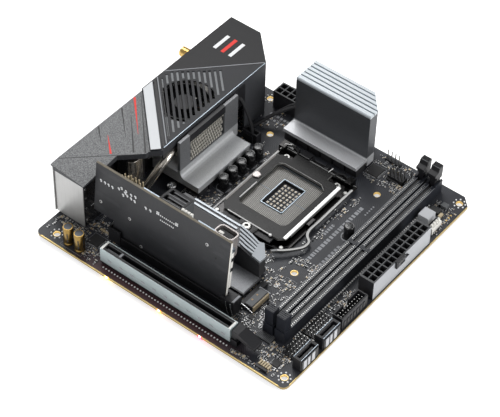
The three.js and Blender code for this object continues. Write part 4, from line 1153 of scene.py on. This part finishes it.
HOLES = [(10.16, 6.17), (165.1, 6.17), (165.1, 163.65), (33.02, 163.65)]
COOLER_HOLES = [(51, 65.3), (126, 65.3), (126, 140.3), (51, 140.3)]


def board_rings():
    rings = Piece("board_rings", "gold", "print_white")
    for x, y in HOLES + COOLER_HOLES:
        rings.hollow(x, y, [(1.9, -1.62), (2.02, -1.62), (2.02, 0.03), (1.9, 0.03)], 32, axis="z")
    for x, y in HOLES:
        for k in range(8):
            a = TAU * (k + 0.5) / 8
            dot = [(0.5, 0), (0.45, 0.25), (0.2, 0.34)]
            rings.lathe(x + 3.25 * math.cos(a), y + 3.25 * math.sin(a), dot, 10, finish=1)
    rings.done()


def board_print():
    """Plain bars and outlines where a real board carries lettering."""
    low, high = 0, 0.03
    bars = Piece("board_print", "print")
    dice = random.Random(3)
    y = 76.4
    while y < 127:
        long = dice.uniform(0.9, 2.2)
        bars.block(124.6, 126.9, y, y + long, low, high)
        y += long + dice.uniform(0.5, 1.1)
    bars.row(5, (0, 1.9), 120.4, 122.3, 97.6, 98.8, low, high)
    bars.row(5, (0, 1.9), 129.6, 130.6, 123.2, 124.1, low, high)
    for start, end in ((72.6, 134.9), (75.3, 134.1), (78, 134.9)):
        bars.row(3, (0, 8.1), 132.2, end, start, start + 1.7, low, high)
    bars.row(6, (2.4, 0), 40.4, 42, 153.4, 155, low, high)
    bars.row(6, (2.4, 0), 40.8, 42.2, 149.8, 151.2, low, high)
    for corners in ((124.6, 131.6, 55.6, 60.6), (16.2, 31, 1.8, 9.4), (153.4, 162.4, 137.8, 147.4),
                    (109.8, 119.4, 149.4, 159.2), (25.6, 34.8, 11, 20.2), (43.4, 57.6, 86.8, 125.4)):
        bars.frame(*corners, 0.14, low, high)
    bars.done()
    rim = Piece("board_edges", "rim")
    rim.blocks(0, (169.7, 170.03, 4, 164, -0.55, 0.02), (4, 166, -0.03, 0.3, -0.55, 0.02))
    rim.done()


def lamps():
    strip = Piece("edge_lamps", "led_yellow", "led_orange", "led_red", "led_core")
    for i, x in enumerate((51, 87.3, 114.8)):
        strip.block(x - 1.7, x + 1.7, 0.15, 1.4, -2.5, -1.6, i)
        strip.lathe(x, 0.55, [(0.55, -2.75), (0.5, -2.5)], 12, finish=i)
        strip.block(x - 1.3, x + 1.3, -0.12, 0.3, -1.5, -0.1, i)
        strip.block(x - 0.6, x + 0.6, -0.2, 0.3, -1.3, 0, 3)
    strip.done(bevel=0.1)


def underside():
    """Solder joints, small parts and the socket screws seen from below."""
    joints = Piece("under_joints", "solder", "epoxy", "steel")
    dice = random.Random(11)
    for _ in range(420):
        x, y = dice.uniform(3, 167), dice.uniform(3, 167)
        near_hole = any(math.hypot(x - a, y - b) < 5.6 for a, b in HOLES + COOLER_HOLES)
        behind = 62 < x < 115 and 64 < y < 142
        rows = 43 < x < 131 and 5 < y < 13 or 137 < x < 153 and 26 < y < 160 or 3 < x < 18 and 19 < y < 91
        if near_hole or behind or rows:
            continue
        if dice.random() < 0.6:
            joints.lathe(x, y, [(0.4, -1.6), (0.35, -1.85), (0.12, -2.1)], 8)
        else:
            joints.post(x, y, 0.6, 0.35, -2.1, -1.6, 1)
    for x0, y0, columns, rows in ((160, 78, 3, 12), (39, 161, 4, 2)):  # the power connectors' pins
        for i in range(columns):
            joints.beads(rows, (0, 4.2), x0 + i * 4.2, y0, [(0.9, -1.6), (0.6, -2.3), (0.3, -3)], 10)
    for x, y in ((68.5, 71), (108.5, 71), (71.3, 129.1), (106.5, 129.1)):
        joints.lathe(x, y, [(2.6, -3.75), (2.4, -3.82), (0.8, -3.84)], 20, finish=2)
    joints.done()


# ---- light and floor

FLOOR_GLOW = 0.6


def floor_finish():
    """Plain and pale, with a little glow of its own to keep it white round the object."""
    s = Shader(0.9)
    s.color(s.mix(s.noise(0.01), (0.87, 0.87, 0.87), (0.9, 0.9, 0.9)))
    s.surface["Emission Color"].default_value = (1, 1, 1, 1)
    s.surface["Emission Strength"].default_value = FLOOR_GLOW
    return s.material


def stage():
    reach = 4
    data = bpy.data.meshes.new("floor")
    data.from_pydata([(x * reach, y * reach, -0.0002) for x, y in ((-1, -1), (1, -1), (1, 1), (-1, 1))], [],
                     [(0, 1, 2, 3)])
    data.materials.append(floor_finish())
    floor = shown("floor", data)


def area_light(name, at, size, watts):
    data = bpy.data.lights.new(name, "AREA")
    data.shape = "RECTANGLE"
    data.size, data.size_y = size
    data.energy = watts
    lamp = shown(name, data)
    lamp.location = at
    lamp.rotation_euler = (Vector((0, 0, 0.02)) - Vector(at)).to_track_quat("-Z", "Y").to_euler()


def lights():
    """A dim room with a brighter ceiling, and three soft boxes."""
    world = bpy.data.worlds.new("studio")
    world.use_nodes = True
    tree = world.node_tree
    place_node = tree.nodes.new("ShaderNodeTexCoord")
    split = tree.nodes.new("ShaderNodeSeparateXYZ")
    tree.links.new(place_node.outputs["Generated"], split.inputs[0])
    rise = tree.nodes.new("ShaderNodeMapRange")
    tree.links.new(split.outputs["Z"], rise.inputs["Value"])
    rise.inputs["To Min"].default_value = 0.22
    rise.inputs["To Max"].default_value = 0.46
    tree.links.new(rise.outputs["Result"], tree.nodes["Background"].inputs["Strength"])
    tree.nodes["Background"].inputs["Color"].default_value = (1, 1, 1, 1)
    bpy.context.scene.world = world
    area_light("key", (-0.45, 0.35, 0.85), (0.5, 0.5), 6)
    area_light("right", (1, 0.25, 0.5), (0.5, 0.8), 7)
    area_light("front", (0.1, -1, 0.45), (0.8, 0.4), 3)
    bpy.context.scene.view_settings.view_transform = "Standard"


finish_nodes()
for build in (
    cover_trim, cover_slashes, cover_marks, vent_groove_highlights, cover_side, fan_details, rear_connectors,
    side_heatsink_details, capacitors, socket_details, load_plate_details, socket_hardware, lever_details,
    memory_details, expansion_details, riser_solder, riser_details, riser_port, riser_socket_details,
    data_block_details, drive_details, edge_connector_details, surface_parts, chips, headers, board_rings,
    board_print, lamps, underside, stage, lights,
):
    build()

bpy.context.view_layer.update()
